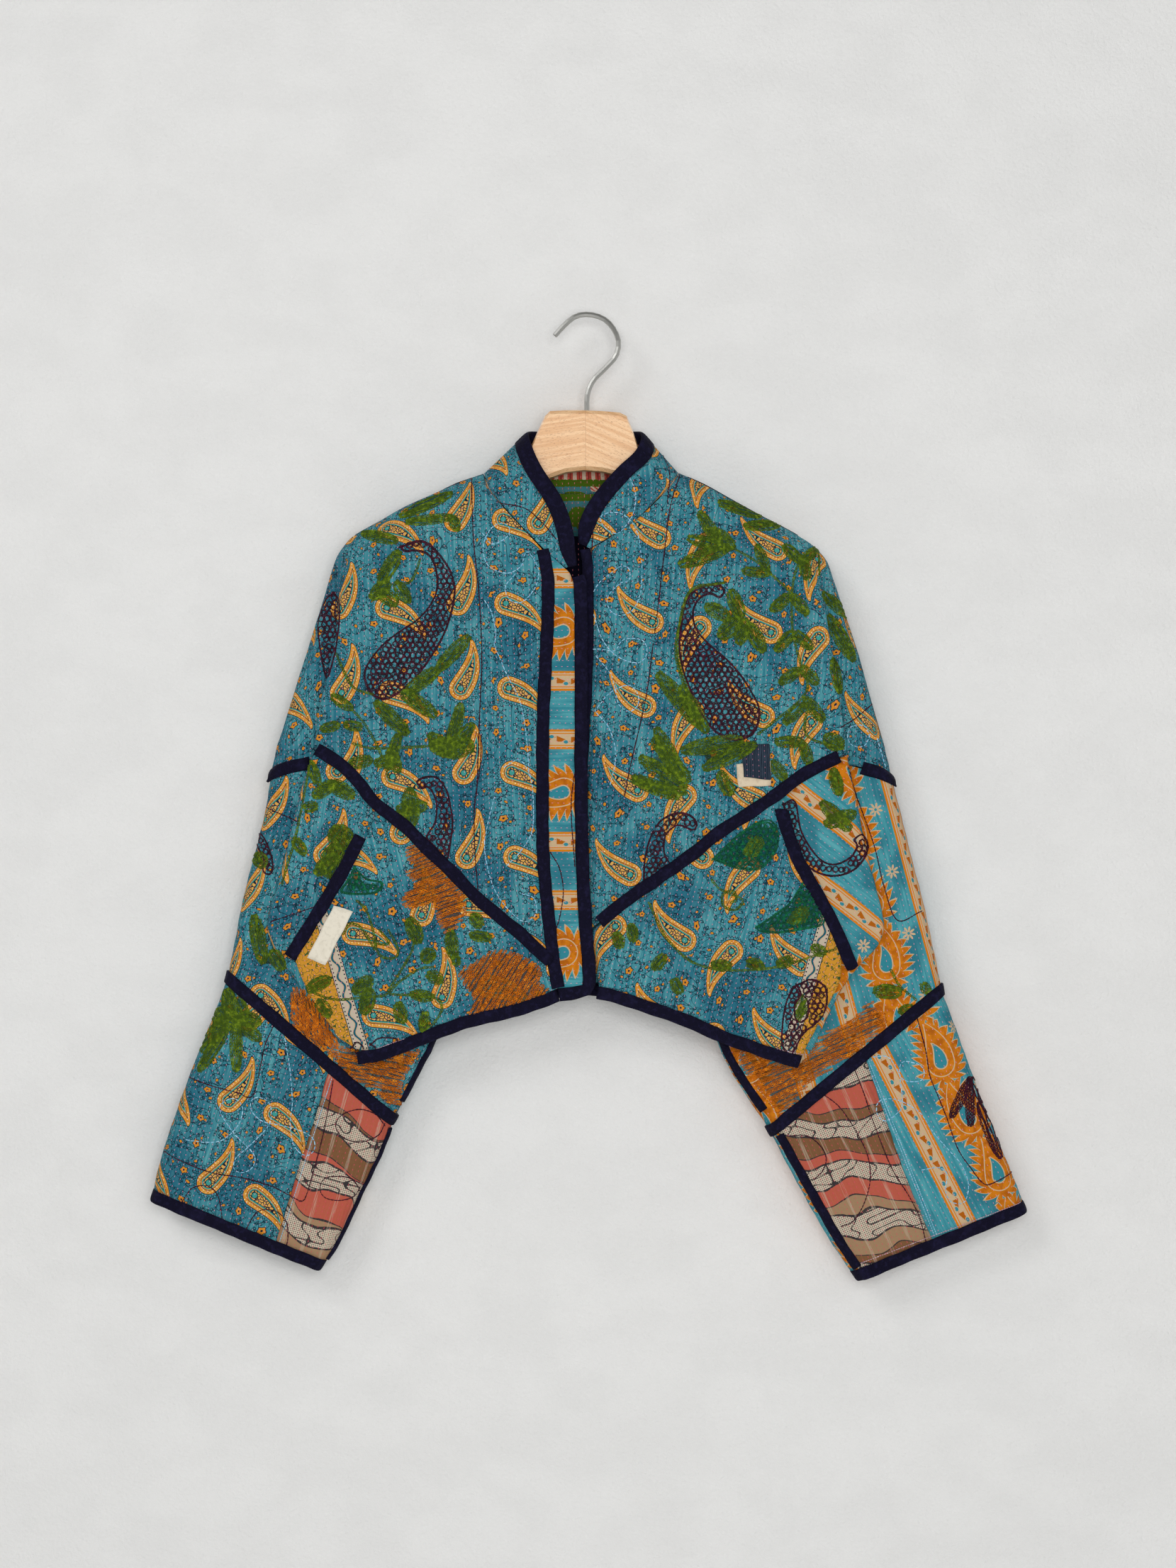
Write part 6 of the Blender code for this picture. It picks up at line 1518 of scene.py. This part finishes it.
class StitchTree:
    """Node trees that lay one kind of stitch along every line of a mesh."""

    NUMBERS = ("Pitch", "Length", "Width", "Thread")

    def __init__(self, loops: bool) -> None:
        """Build the tree for chain loops, or for plain stitches."""
        self.loops = loops
        self.group = bpy.data.node_groups.new("chain_stitch" if loops else "plain_stitch",
                                              "GeometryNodeTree")
        self.sockets: dict[str, str] = {}
        self.build()

    def add(self, kind: str, settings: dict | None = None, inputs: dict | None = None) -> bpy.types.Node:
        """Add a node, with its settings first and then its sockets.

        Args:
            kind: The node's type.
            settings: Its properties.
            inputs: Values or links by socket name or index.

        Returns:
            The new node.
        """
        node = self.group.nodes.new(kind)
        for key, value in (settings or {}).items():
            setattr(node, key, value)
        for key, value in (inputs or {}).items():
            if isinstance(value, bpy.types.NodeSocket):
                self.group.links.new(value, node.inputs[key])
            else:
                node.inputs[key].default_value = value
        return node

    def declare(self) -> bpy.types.Node:
        """Name the tree's inputs and output, and add its group input."""
        face = self.group.interface
        face.new_socket("Geometry", in_out="INPUT", socket_type="NodeSocketGeometry")
        kinds = {**dict.fromkeys(self.NUMBERS, "NodeSocketFloat"), "Seed": "NodeSocketInt",
                 "Material": "NodeSocketMaterial"}
        for name, kind in kinds.items():
            self.sockets[name] = face.new_socket(name, in_out="INPUT", socket_type=kind).identifier
        face.new_socket("Geometry", in_out="OUTPUT", socket_type="NodeSocketGeometry")
        return self.add("NodeGroupInput")

    def scaled(self, socket: bpy.types.NodeSocket, factor: float) -> bpy.types.NodeSocket:
        """Multiply a length by a factor."""
        return self.add("ShaderNodeMath", {"operation": "MULTIPLY"}, {0: socket, 1: factor}).outputs[0]

    def one(self, given: bpy.types.Node) -> bpy.types.NodeSocket:
        """Make one stitch that lies along X.

        Args:
            given: The group's input.

        Returns:
            The stitch's geometry.
        """
        size = given.outputs
        half = self.scaled(size["Length"], 0.5)
        if self.loops:
            ring = self.add("GeometryNodeCurvePrimitiveCircle", None, {"Resolution": 5, "Radius": 1.0})
            side = self.scaled(size["Width"], 0.5)
            shape = self.add("ShaderNodeCombineXYZ", None, {0: half, 1: side, 2: 1.0})
            path = self.add("GeometryNodeTransform", None, {0: ring.outputs[0], "Scale": shape.outputs[0]})
        else:
            dip = self.scaled(size["Thread"], -1.3)
            crown = self.scaled(size["Thread"], 1.15)
            ends = [self.add("ShaderNodeCombineXYZ", None, {0: x, 2: dip}).outputs[0]
                    for x in (self.scaled(half, -1.0), half)]
            top = self.add("ShaderNodeCombineXYZ", None, {2: crown}).outputs[0]
            path = self.add("GeometryNodeCurveQuadraticBezier", None,
                            {"Resolution": 4, "Start": ends[0], "Middle": top, "End": ends[1]})
        round_it = self.add("GeometryNodeCurvePrimitiveCircle", None,
                            {"Resolution": 3 if self.loops else 5, "Radius": size["Thread"]})
        body = self.add("GeometryNodeCurveToMesh", None,
                        {"Curve": path.outputs[0], "Profile Curve": round_it.outputs[0],
                         "Fill Caps": not self.loops})
        return self.add("GeometryNodeSetShadeSmooth", None, {0: body.outputs[0]}).outputs[0]

    def build(self) -> None:
        """Resample the lines, set a stitch at each point and realize them."""
        given = self.declare()
        lines = self.add("GeometryNodeMeshToCurve", None, {0: given.outputs["Geometry"]})
        even = self.add("GeometryNodeResampleCurve", {"mode": "LENGTH"},
                        {"Curve": lines.outputs[0], "Length": given.outputs["Pitch"]})
        along = self.add("GeometryNodeInputTangent").outputs[0]
        outward = self.add("GeometryNodeInputNamedAttribute", {"data_type": "FLOAT_VECTOR"},
                           {"Name": "outward"}).outputs[0]
        first = self.add("FunctionNodeAlignRotationToVector", {"axis": "Z"}, {"Vector": outward})
        aligned = self.add("FunctionNodeAlignRotationToVector", {"axis": "X", "pivot_axis": "Z"},
                           {"Rotation": first.outputs[0], "Vector": along})
        sway = self.add("FunctionNodeRandomValue", {"data_type": "FLOAT"},
                        {2: -0.22 if self.loops else -0.05, 3: 0.22 if self.loops else 0.05,
                         "Seed": given.outputs["Seed"]})
        twist = self.add("ShaderNodeCombineXYZ", None, {2: sway.outputs[1]})
        turned = self.add("FunctionNodeRotateRotation", {"rotation_space": "LOCAL"},
                          {0: aligned.outputs[0], 1: twist.outputs[0]})
        later = self.add("ShaderNodeMath", {"operation": "ADD"}, {0: given.outputs["Seed"], 1: 7.0})
        size = self.add("FunctionNodeRandomValue", {"data_type": "FLOAT"},
                        {2: 0.82, 3: 1.16, "Seed": later.outputs[0]})
        set_on = self.add("GeometryNodeInstanceOnPoints", None,
                          {"Points": even.outputs[0], "Instance": self.one(given),
                           "Rotation": turned.outputs[0], "Scale": size.outputs[1]})
        real = self.add("GeometryNodeRealizeInstances", None, {0: set_on.outputs[0]})
        dyed = self.add("GeometryNodeSetMaterial", None,
                        {0: real.outputs[0], "Material": given.outputs["Material"]})
        self.add("NodeGroupOutput", None, {0: dyed.outputs[0]})


@dataclass(frozen=True)
class Work:
    """One colour's needlework: its stitch and the lines that it follows."""

    name: str
    finish: Finish
    stitch: Stitch
    lines: tuple
    front: bool = True
    lift: float = 0.22


class Needlework:
    """Embroidery and stitching, laid on the jacket's shells."""

    STEP = 0.0016
    BREAK = 0.004
    LEAF_GAP = 1.9
    FILL_GAP = 2.7
    FILL_GAP_BACK = 2.3
    NET_PITCH = 8.5
    LOW_Z = -0.37

    def __init__(self, shells: Sequence[bpy.types.Object]) -> None:
        """Gather the cloth that the thread lies on."""
        self.shells = shells
        self.cloth = {front: self.gather(-1.0 if front else 1.0) for front in (True, False)}
        self.trees = {True: StitchTree(True), False: StitchTree(False)}
        self.soft = np.random.default_rng(41)

    def gather(self, side: float) -> BVHTree:
        """Gather the faces that look to the front, side -1, or to the back, side 1."""
        points: list[np.ndarray] = []
        faces: list[tuple[int, ...]] = []
        start = 0
        for shell in self.shells:
            mesh = shell.data
            points.append(read_mesh(mesh)[0])
            faces.extend(tuple(v + start for v in face.vertices) for face in mesh.polygons
                         if face.normal.y * side > -0.4)
            start += len(mesh.vertices)
        return BVHTree.FromPolygons(np.vstack(points).tolist(), faces)

    def lay(self, line: np.ndarray, work: Work) -> list[tuple[np.ndarray, np.ndarray]]:
        """Drop a line onto the cloth.

        Args:
            line: Rows of X and Z in metres.
            work: The needlework that it belongs to.

        Returns:
            Runs of points, each with its outward directions.
        """
        side = -1.0 if work.front else 1.0
        cloth = self.cloth[work.front]
        runs, spots, outs = [], [], []
        for x, z in smooth(line, self.STEP):
            hit, normal, _, _ = cloth.ray_cast(Vector((x, 0.1 * side, z)), Vector((0, -side, 0)))
            broken = hit is None or (spots and abs(hit.y - spots[-1][1]) > self.BREAK)
            if broken and len(spots) > 1:
                runs.append((np.array(spots), np.array(outs)))
            if broken:
                spots, outs = [], []
            if hit is not None:
                outward = normal if normal.y * side > 0 else -normal
                spots.append(np.array(hit + outward * work.lift * 0.001))
                outs.append(np.array(outward))
        if len(spots) > 1:
            runs.append((np.array(spots), np.array(outs)))
        return runs

    def guide(self, work: Work) -> bpy.types.Object:
        """Join a work's lines into one mesh of edges with outward directions."""
        verts: list[np.ndarray] = []
        outs: list[np.ndarray] = []
        edges: list[tuple[int, int]] = []
        for line in work.lines:
            for spots, outward in self.lay(line, work):
                base = sum(len(v) for v in verts)
                verts.append(spots)
                outs.append(outward)
                edges += [(base + k, base + k + 1) for k in range(len(spots) - 1)]
        mesh = bpy.data.meshes.new(work.name + "_guide")
        mesh.from_pydata(np.vstack(verts).tolist(), edges, [])
        held = mesh.attributes.new("outward", "FLOAT_VECTOR", "POINT")
        held.data.foreach_set("vector", np.vstack(outs).astype(np.float32).ravel())
        guide = bpy.data.objects.new(work.name + "_guide", mesh)
        bpy.context.scene.collection.objects.link(guide)
        return guide

    def sew(self, work: Work, seed: int) -> bpy.types.Object:
        """Stitch one work and make it a plain piece.

        Args:
            work: What is sewn.
            seed: The seed of its unevenness.

        Returns:
            The sewn piece.
        """
        guide = self.guide(work)
        tree = self.trees[work.stitch in (Stitch.CHAIN, Stitch.RING)]
        laid = guide.modifiers.new("stitches", "NODES")
        laid.node_group = tree.group
        for name, size in zip(StitchTree.NUMBERS, work.stitch.value, strict=True):
            laid[tree.sockets[name]] = size * 0.001
        laid[tree.sockets["Seed"]] = seed
        laid[tree.sockets["Material"]] = material(work.finish)
        piece = settle_mesh(guide, work.name)
        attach(piece, "root")
        log.info("%s: %d faces", work.name, len(piece.data.polygons))
        return piece

    def hatch(self, outline: np.ndarray, spacing: float, angle: float) -> list[np.ndarray]:
        """Fill an outline with close lines that wander a little.

        Args:
            outline: The outline's points in metres.
            spacing: The gap between lines in mm.
            angle: The lines' direction in degrees from across.

        Returns:
            The lines.
        """
        turn = math.radians(angle)
        spin = np.array([[math.cos(turn), math.sin(turn)], [-math.sin(turn), math.cos(turn)]])
        edge = outline @ spin.T
        lines = []
        levels = np.arange(edge[:, 1].min(), edge[:, 1].max(), spacing * 0.001)
        nxt = np.roll(edge, -1, axis=0)
        for level in levels[1:]:
            level += self.soft.uniform(-0.25, 0.25) * spacing * 0.001
            crosses = (edge[:, 1] > level) != (nxt[:, 1] > level)
            a, b = edge[crosses], nxt[crosses]
            xs = np.sort(a[:, 0] + (level - a[:, 1]) * (b[:, 0] - a[:, 0]) / (b[:, 1] - a[:, 1]))
            for left, right in zip(xs[::2], xs[1::2], strict=False):
                if right - left > 0.002:
                    count = max(2, int((right - left) / 0.006) + 1)
                    along = np.linspace(left, right, count)
                    drift = self.soft.normal(0.0, 0.00045, count)
                    lines.append(np.stack([along, level + drift], axis=1) @ spin)
        return lines

    def leaf(self, row: tuple) -> list[np.ndarray]:
        """Fill one finger-shaped leaf along its length, inside its outline."""
        outline = finger(row)
        axis = at([row[2:4]])[0] - at([row[:2]])[0]
        angle = math.degrees(math.atan2(axis[1], axis[0]))
        return [np.vstack([outline, outline[:1]]), *self.hatch(outline, self.LEAF_GAP, angle)]

    def net(self, outline: np.ndarray) -> list[np.ndarray]:
        """Fill an outline with small stitched rings."""
        pitch = self.NET_PITCH * UNIT
        low, high = outline.min(0), outline.max(0)
        rings = []
        turn = np.linspace(0.0, math.tau, 9)
        for row, z in enumerate(np.arange(low[1] + pitch * 0.3, high[1], pitch * 0.87)):
            for x in np.arange(low[0] + (row % 2) * pitch / 2, high[0], pitch):
                spot = np.array([x, z]) + self.soft.normal(0.0, 0.0005, 2)
                clear = np.linalg.norm(outline - spot, axis=1).min() > pitch * 0.40
                if clear and inside(outline, spot[None])[0]:
                    size = pitch * self.soft.uniform(0.40, 0.5)
                    rings.append(spot + size * np.stack([np.cos(turn), np.sin(turn)], axis=1))
        return rings

    @staticmethod
    def shut(points: Sequence) -> np.ndarray:
        """Close a drawn outline."""
        ring = at(points)
        return np.vstack([ring, ring[:1]])

    def shade(self) -> None:
        """Mark the cloth under dense stitching, green, mustard and forest in turn, for the dark thread tone
        and painted shade.
        """
        shut = {0: [finger(row) for row in GREEN_LEAVES] + [at(p) for p in (*BUDS, *GREEN_HEARTS)],
                1: [at(p) for p in MUSTARD_FILLS], 2: [at(p) for p in FOREST_NETS]}
        behind = {0: [finger(row) for row in BACK_LEAVES], 1: [at(p) for p in BACK_FILLS]}
        for shell in self.shells:
            mesh = shell.data
            co, normal = read_mesh(mesh)
            share = np.zeros((len(co), 3), np.float32)
            for side, shapes in ((-1.0, shut), (1.0, behind)):
                looks = (normal[:, 1] * side > 0.1) & (co[:, 1] * side > 0.0)
                for kind, outlines in shapes.items():
                    for outline in outlines:
                        low, high = outline.min(0), outline.max(0)
                        place = co[:, [0, 2]]
                        near = np.flatnonzero(looks & (place > low).all(1) & (place < high).all(1))
                        share[near[inside(outline, place[near])], kind] = 1.0
            held = mesh.attributes.new(THREAD_NAME, "FLOAT_VECTOR", "POINT")
            held.data.foreach_set("vector", share.ravel())

    def filled(self, shapes: Sequence, spacing: float) -> list[np.ndarray]:
        """Hatch a list of drawn outlines, each in its own direction."""
        lines = []
        for k, shape in enumerate(shapes):
            lines += self.hatch(smooth(self.shut(shape), 0.004), spacing, 20.0 + 37.0 * k)
        return lines

    def netted(self, shapes: Sequence, shrink: float) -> list[np.ndarray]:
        """Fill drawn outlines with rings inside a double edge."""
        lines = []
        for shape in shapes:
            outline = smooth(self.shut(shape), 0.003)
            inner = outline * (1.0 - shrink) + outline.mean(0) * shrink
            lines += [outline, inner, *self.net(outline)]
        return lines

    def works(self) -> list[Work]:
        """List everything that is sewn on the jacket."""
        leaves = [line for row in GREEN_LEAVES for line in self.leaf(row)]
        for bud in BUDS:
            leaves += [self.shut(bud), *self.hatch(at(bud), 1.6, 20.0)]
        for shape in GREEN_HEARTS:
            leaves += self.hatch(smooth(self.shut(shape), 0.003), 1.5, 60.0)
        leaves += [at(vine) for vine in GREEN_VINES]
        left = [line for line in leaves if line[:, 0].mean() > 0.0]
        right = [line for line in leaves if line[:, 0].mean() <= 0.0]
        low = [line for line in right if line[:, 1].mean() < self.LOW_Z]
        high = [line for line in right if line[:, 1].mean() >= self.LOW_Z]
        plum = [line for row in PLUM_LEAVES for line in self.leaf(row)]
        rings = self.netted(PLUM_NETS, 0.015) + [at(line) for line in PLUM_LINES]
        behind = [line for row in BACK_LEAVES for line in self.leaf(row)]
        behind += [at(p) for p in BACK_VINES]
        chain = Stitch.CHAIN
        return [
            Work("green_leaves_left", Finish.GREEN, chain, tuple(left)),
            Work("green_leaves_low", Finish.GREEN, chain, tuple(low)),
            Work("green_leaves_high", Finish.GREEN, chain, tuple(high)),
            Work("green_leaves_back", Finish.GREEN, chain, tuple(behind), False),
            Work("mustard_fill", Finish.MUSTARD, chain, tuple(self.filled(MUSTARD_FILLS, self.FILL_GAP))),
            Work("mustard_fill_back", Finish.MUSTARD, chain,
                 tuple(self.filled(BACK_FILLS, self.FILL_GAP_BACK)), False),
            Work("plum_nets", Finish.PLUM, Stitch.RING, tuple(rings)),
            Work("plum_leaves", Finish.PLUM, chain, tuple(plum)),
            Work("forest_nets", Finish.FOREST, Stitch.RING, tuple(self.netted(FOREST_NETS, 0.07))),
            Work("plum_lines", Finish.PLUM, Stitch.BACK, tuple(at(p) for p in PLUM_RUNS)),
            Work("plum_lines_back", Finish.PLUM, Stitch.BACK, tuple(at(p) for p in BACK_RUNS), False),
            Work("sky_curls", Finish.SKY, Stitch.RUN, tuple(at(p) for p in SKY_RUNS)),
            Work("edge_stitching", Finish.SKY, Stitch.TOP, tuple(at(p) for p in EDGE_RUNS)),
            Work("top_stitching", Finish.WHITE, Stitch.TOP, tuple(at(p) for p in TOP_RUNS)),
        ]

    def dress(self) -> None:
        """Sew everything on."""
        self.shade()
        for seed, work in enumerate(self.works(), 3):
            self.sew(work, seed)


class Hanger:
    """The beech hanger and its wire hook, which keep their own solids."""

    def __init__(self, frame: dict) -> None:
        """Keep the frame's nodes."""
        self.nodes = frame["nodes"]

    def dress(self) -> None:
        """Give the wood and the wire their materials."""
        for node, finish in (("hanger_body", Finish.BEECH), ("hanger_hook", Finish.STEEL)):
            mesh = self.nodes[node].data
            mesh.materials.clear()
            mesh.materials.append(material(finish))
            log.info("%s: %s", node, finish.value)


# Each light's name, place and size in metres, and watts.
LAMPS = [
    ("window", (-1.6, -2.6, 1.2), 1.2, 22.5),
    ("fill", (1.6, -3.0, 0.1), 2.0, 10.2),
    ("front", (0.1, -3.3, -0.2), 1.3, 48.5),
    ("back_left", (-1.6, 2.6, 0.9), 2.2, 34.0),
    ("back_right", (1.8, 2.6, 0.9), 2.2, 34.0),
]


@dataclass(frozen=True)
class Studio:
    """A pale wall and floor, soft lights and the camera."""

    wall_y: float = 0.034
    floor_z: float = -1.9
    aim: tuple[float, float] = (0.0033, -0.395)
    lit: tuple[float, float, float] = (0.0, 0.0, -0.4)
    distance: float = 3.0
    lens: float = 81.4

    def plaster(self) -> bpy.types.Material:
        """Make the wall's off-white plaster."""
        g = Graph("plaster_wall")
        x, y, z = g.solid_place()
        grit = g.noise(g.point(x / 3.0, y / 3.0, z / 3.0), 4.0, 0.6)
        trowel = g.noise(g.point(x / 60.0, y / 60.0, z / 40.0), 3.0)
        colour = g.blend(trowel.ramp(0.3, 0.7), tint(229, 229, 228), tint(225, 225, 224))
        relief = {"Height": grit, "Distance": 0.0016, "Strength": 0.8}
        normal = g.add("ShaderNodeBump", None, relief).outputs[0]
        inputs = {"Base Color": colour, "Roughness": 0.9, "Normal": normal}
        shader = g.add("ShaderNodeBsdfPrincipled", None, inputs)
        side = g.find(g.add("ShaderNodeNewGeometry").outputs, "Backfacing")
        clear = g.add("ShaderNodeBsdfTransparent")
        both = g.add("ShaderNodeMixShader", None, {0: side, 1: shader.outputs[0], 2: clear.outputs[0]})
        g.add("ShaderNodeOutputMaterial", None, {"Surface": both.outputs[0]})
        return g.material

    def plane(self, name: str, corners: Sequence[tuple], mat: bpy.types.Material) -> bpy.types.Object:
        """Lay one flat stage piece."""
        mesh = bpy.data.meshes.new(name)
        mesh.from_pydata([Vector(c) for c in corners], [], [(0, 1, 2, 3)])
        mesh.materials.append(mat)
        piece = bpy.data.objects.new(name, mesh)
        bpy.context.scene.collection.objects.link(piece)
        return piece

    def build(self) -> None:
        """Set up the stage, the lights and the camera."""
        mat = self.plaster()
        y, low = self.wall_y, self.floor_z
        wall = self.plane("wall", [(-4, y, low), (4, y, low), (4, y, 2.4), (-4, y, 2.4)], mat)
        wall.visible_shadow = False
        self.plane("floor", [(-4, -5, low), (4, -5, low), (4, y, low), (-4, y, low)], mat)
        for lamp in LAMPS:
            self.light(*lamp)
        world = bpy.data.worlds.new("room")
        world.use_nodes = True
        sky = world.node_tree.nodes["Background"]
        sky.inputs["Color"].default_value = (1.0, 0.99, 0.97, 1.0)
        sky.inputs["Strength"].default_value = 0.28
        bpy.context.scene.world = world
        bpy.context.scene.view_settings.view_transform = "Standard"
        camera = bpy.data.cameras.new("camera")
        camera.lens = self.lens
        eye = bpy.data.objects.new("camera", camera)
        eye.location = (self.aim[0], -self.distance, self.aim[1])
        eye.rotation_euler = (math.pi / 2, 0.0, 0.0)
        bpy.context.scene.collection.objects.link(eye)
        bpy.context.scene.camera = eye

    def light(self, name: str, place: tuple[float, float, float], size: float, watts: float) -> None:
        """Hang a soft square light that faces the jacket."""
        lamp = bpy.data.lights.new(name, "AREA")
        lamp.size = size
        lamp.energy = watts
        holder = bpy.data.objects.new(name, lamp)
        holder.location = place
        aim = Vector(self.lit) - Vector(place)
        holder.rotation_euler = aim.to_track_quat("-Z", "Y").to_euler()
        bpy.context.scene.collection.objects.link(holder)


def main() -> None:
    """Build the stage and dress the jacket and its hanger."""
    logging.basicConfig(level=logging.INFO, format="%(name)s: %(message)s")
    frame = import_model()
    Studio().build()
    Hanger(frame).dress()
    jacket = Jacket(frame, Hang())
    jacket.dress()
    Needlework(jacket.shells).dress()


if __name__ == "__main__":
    main()
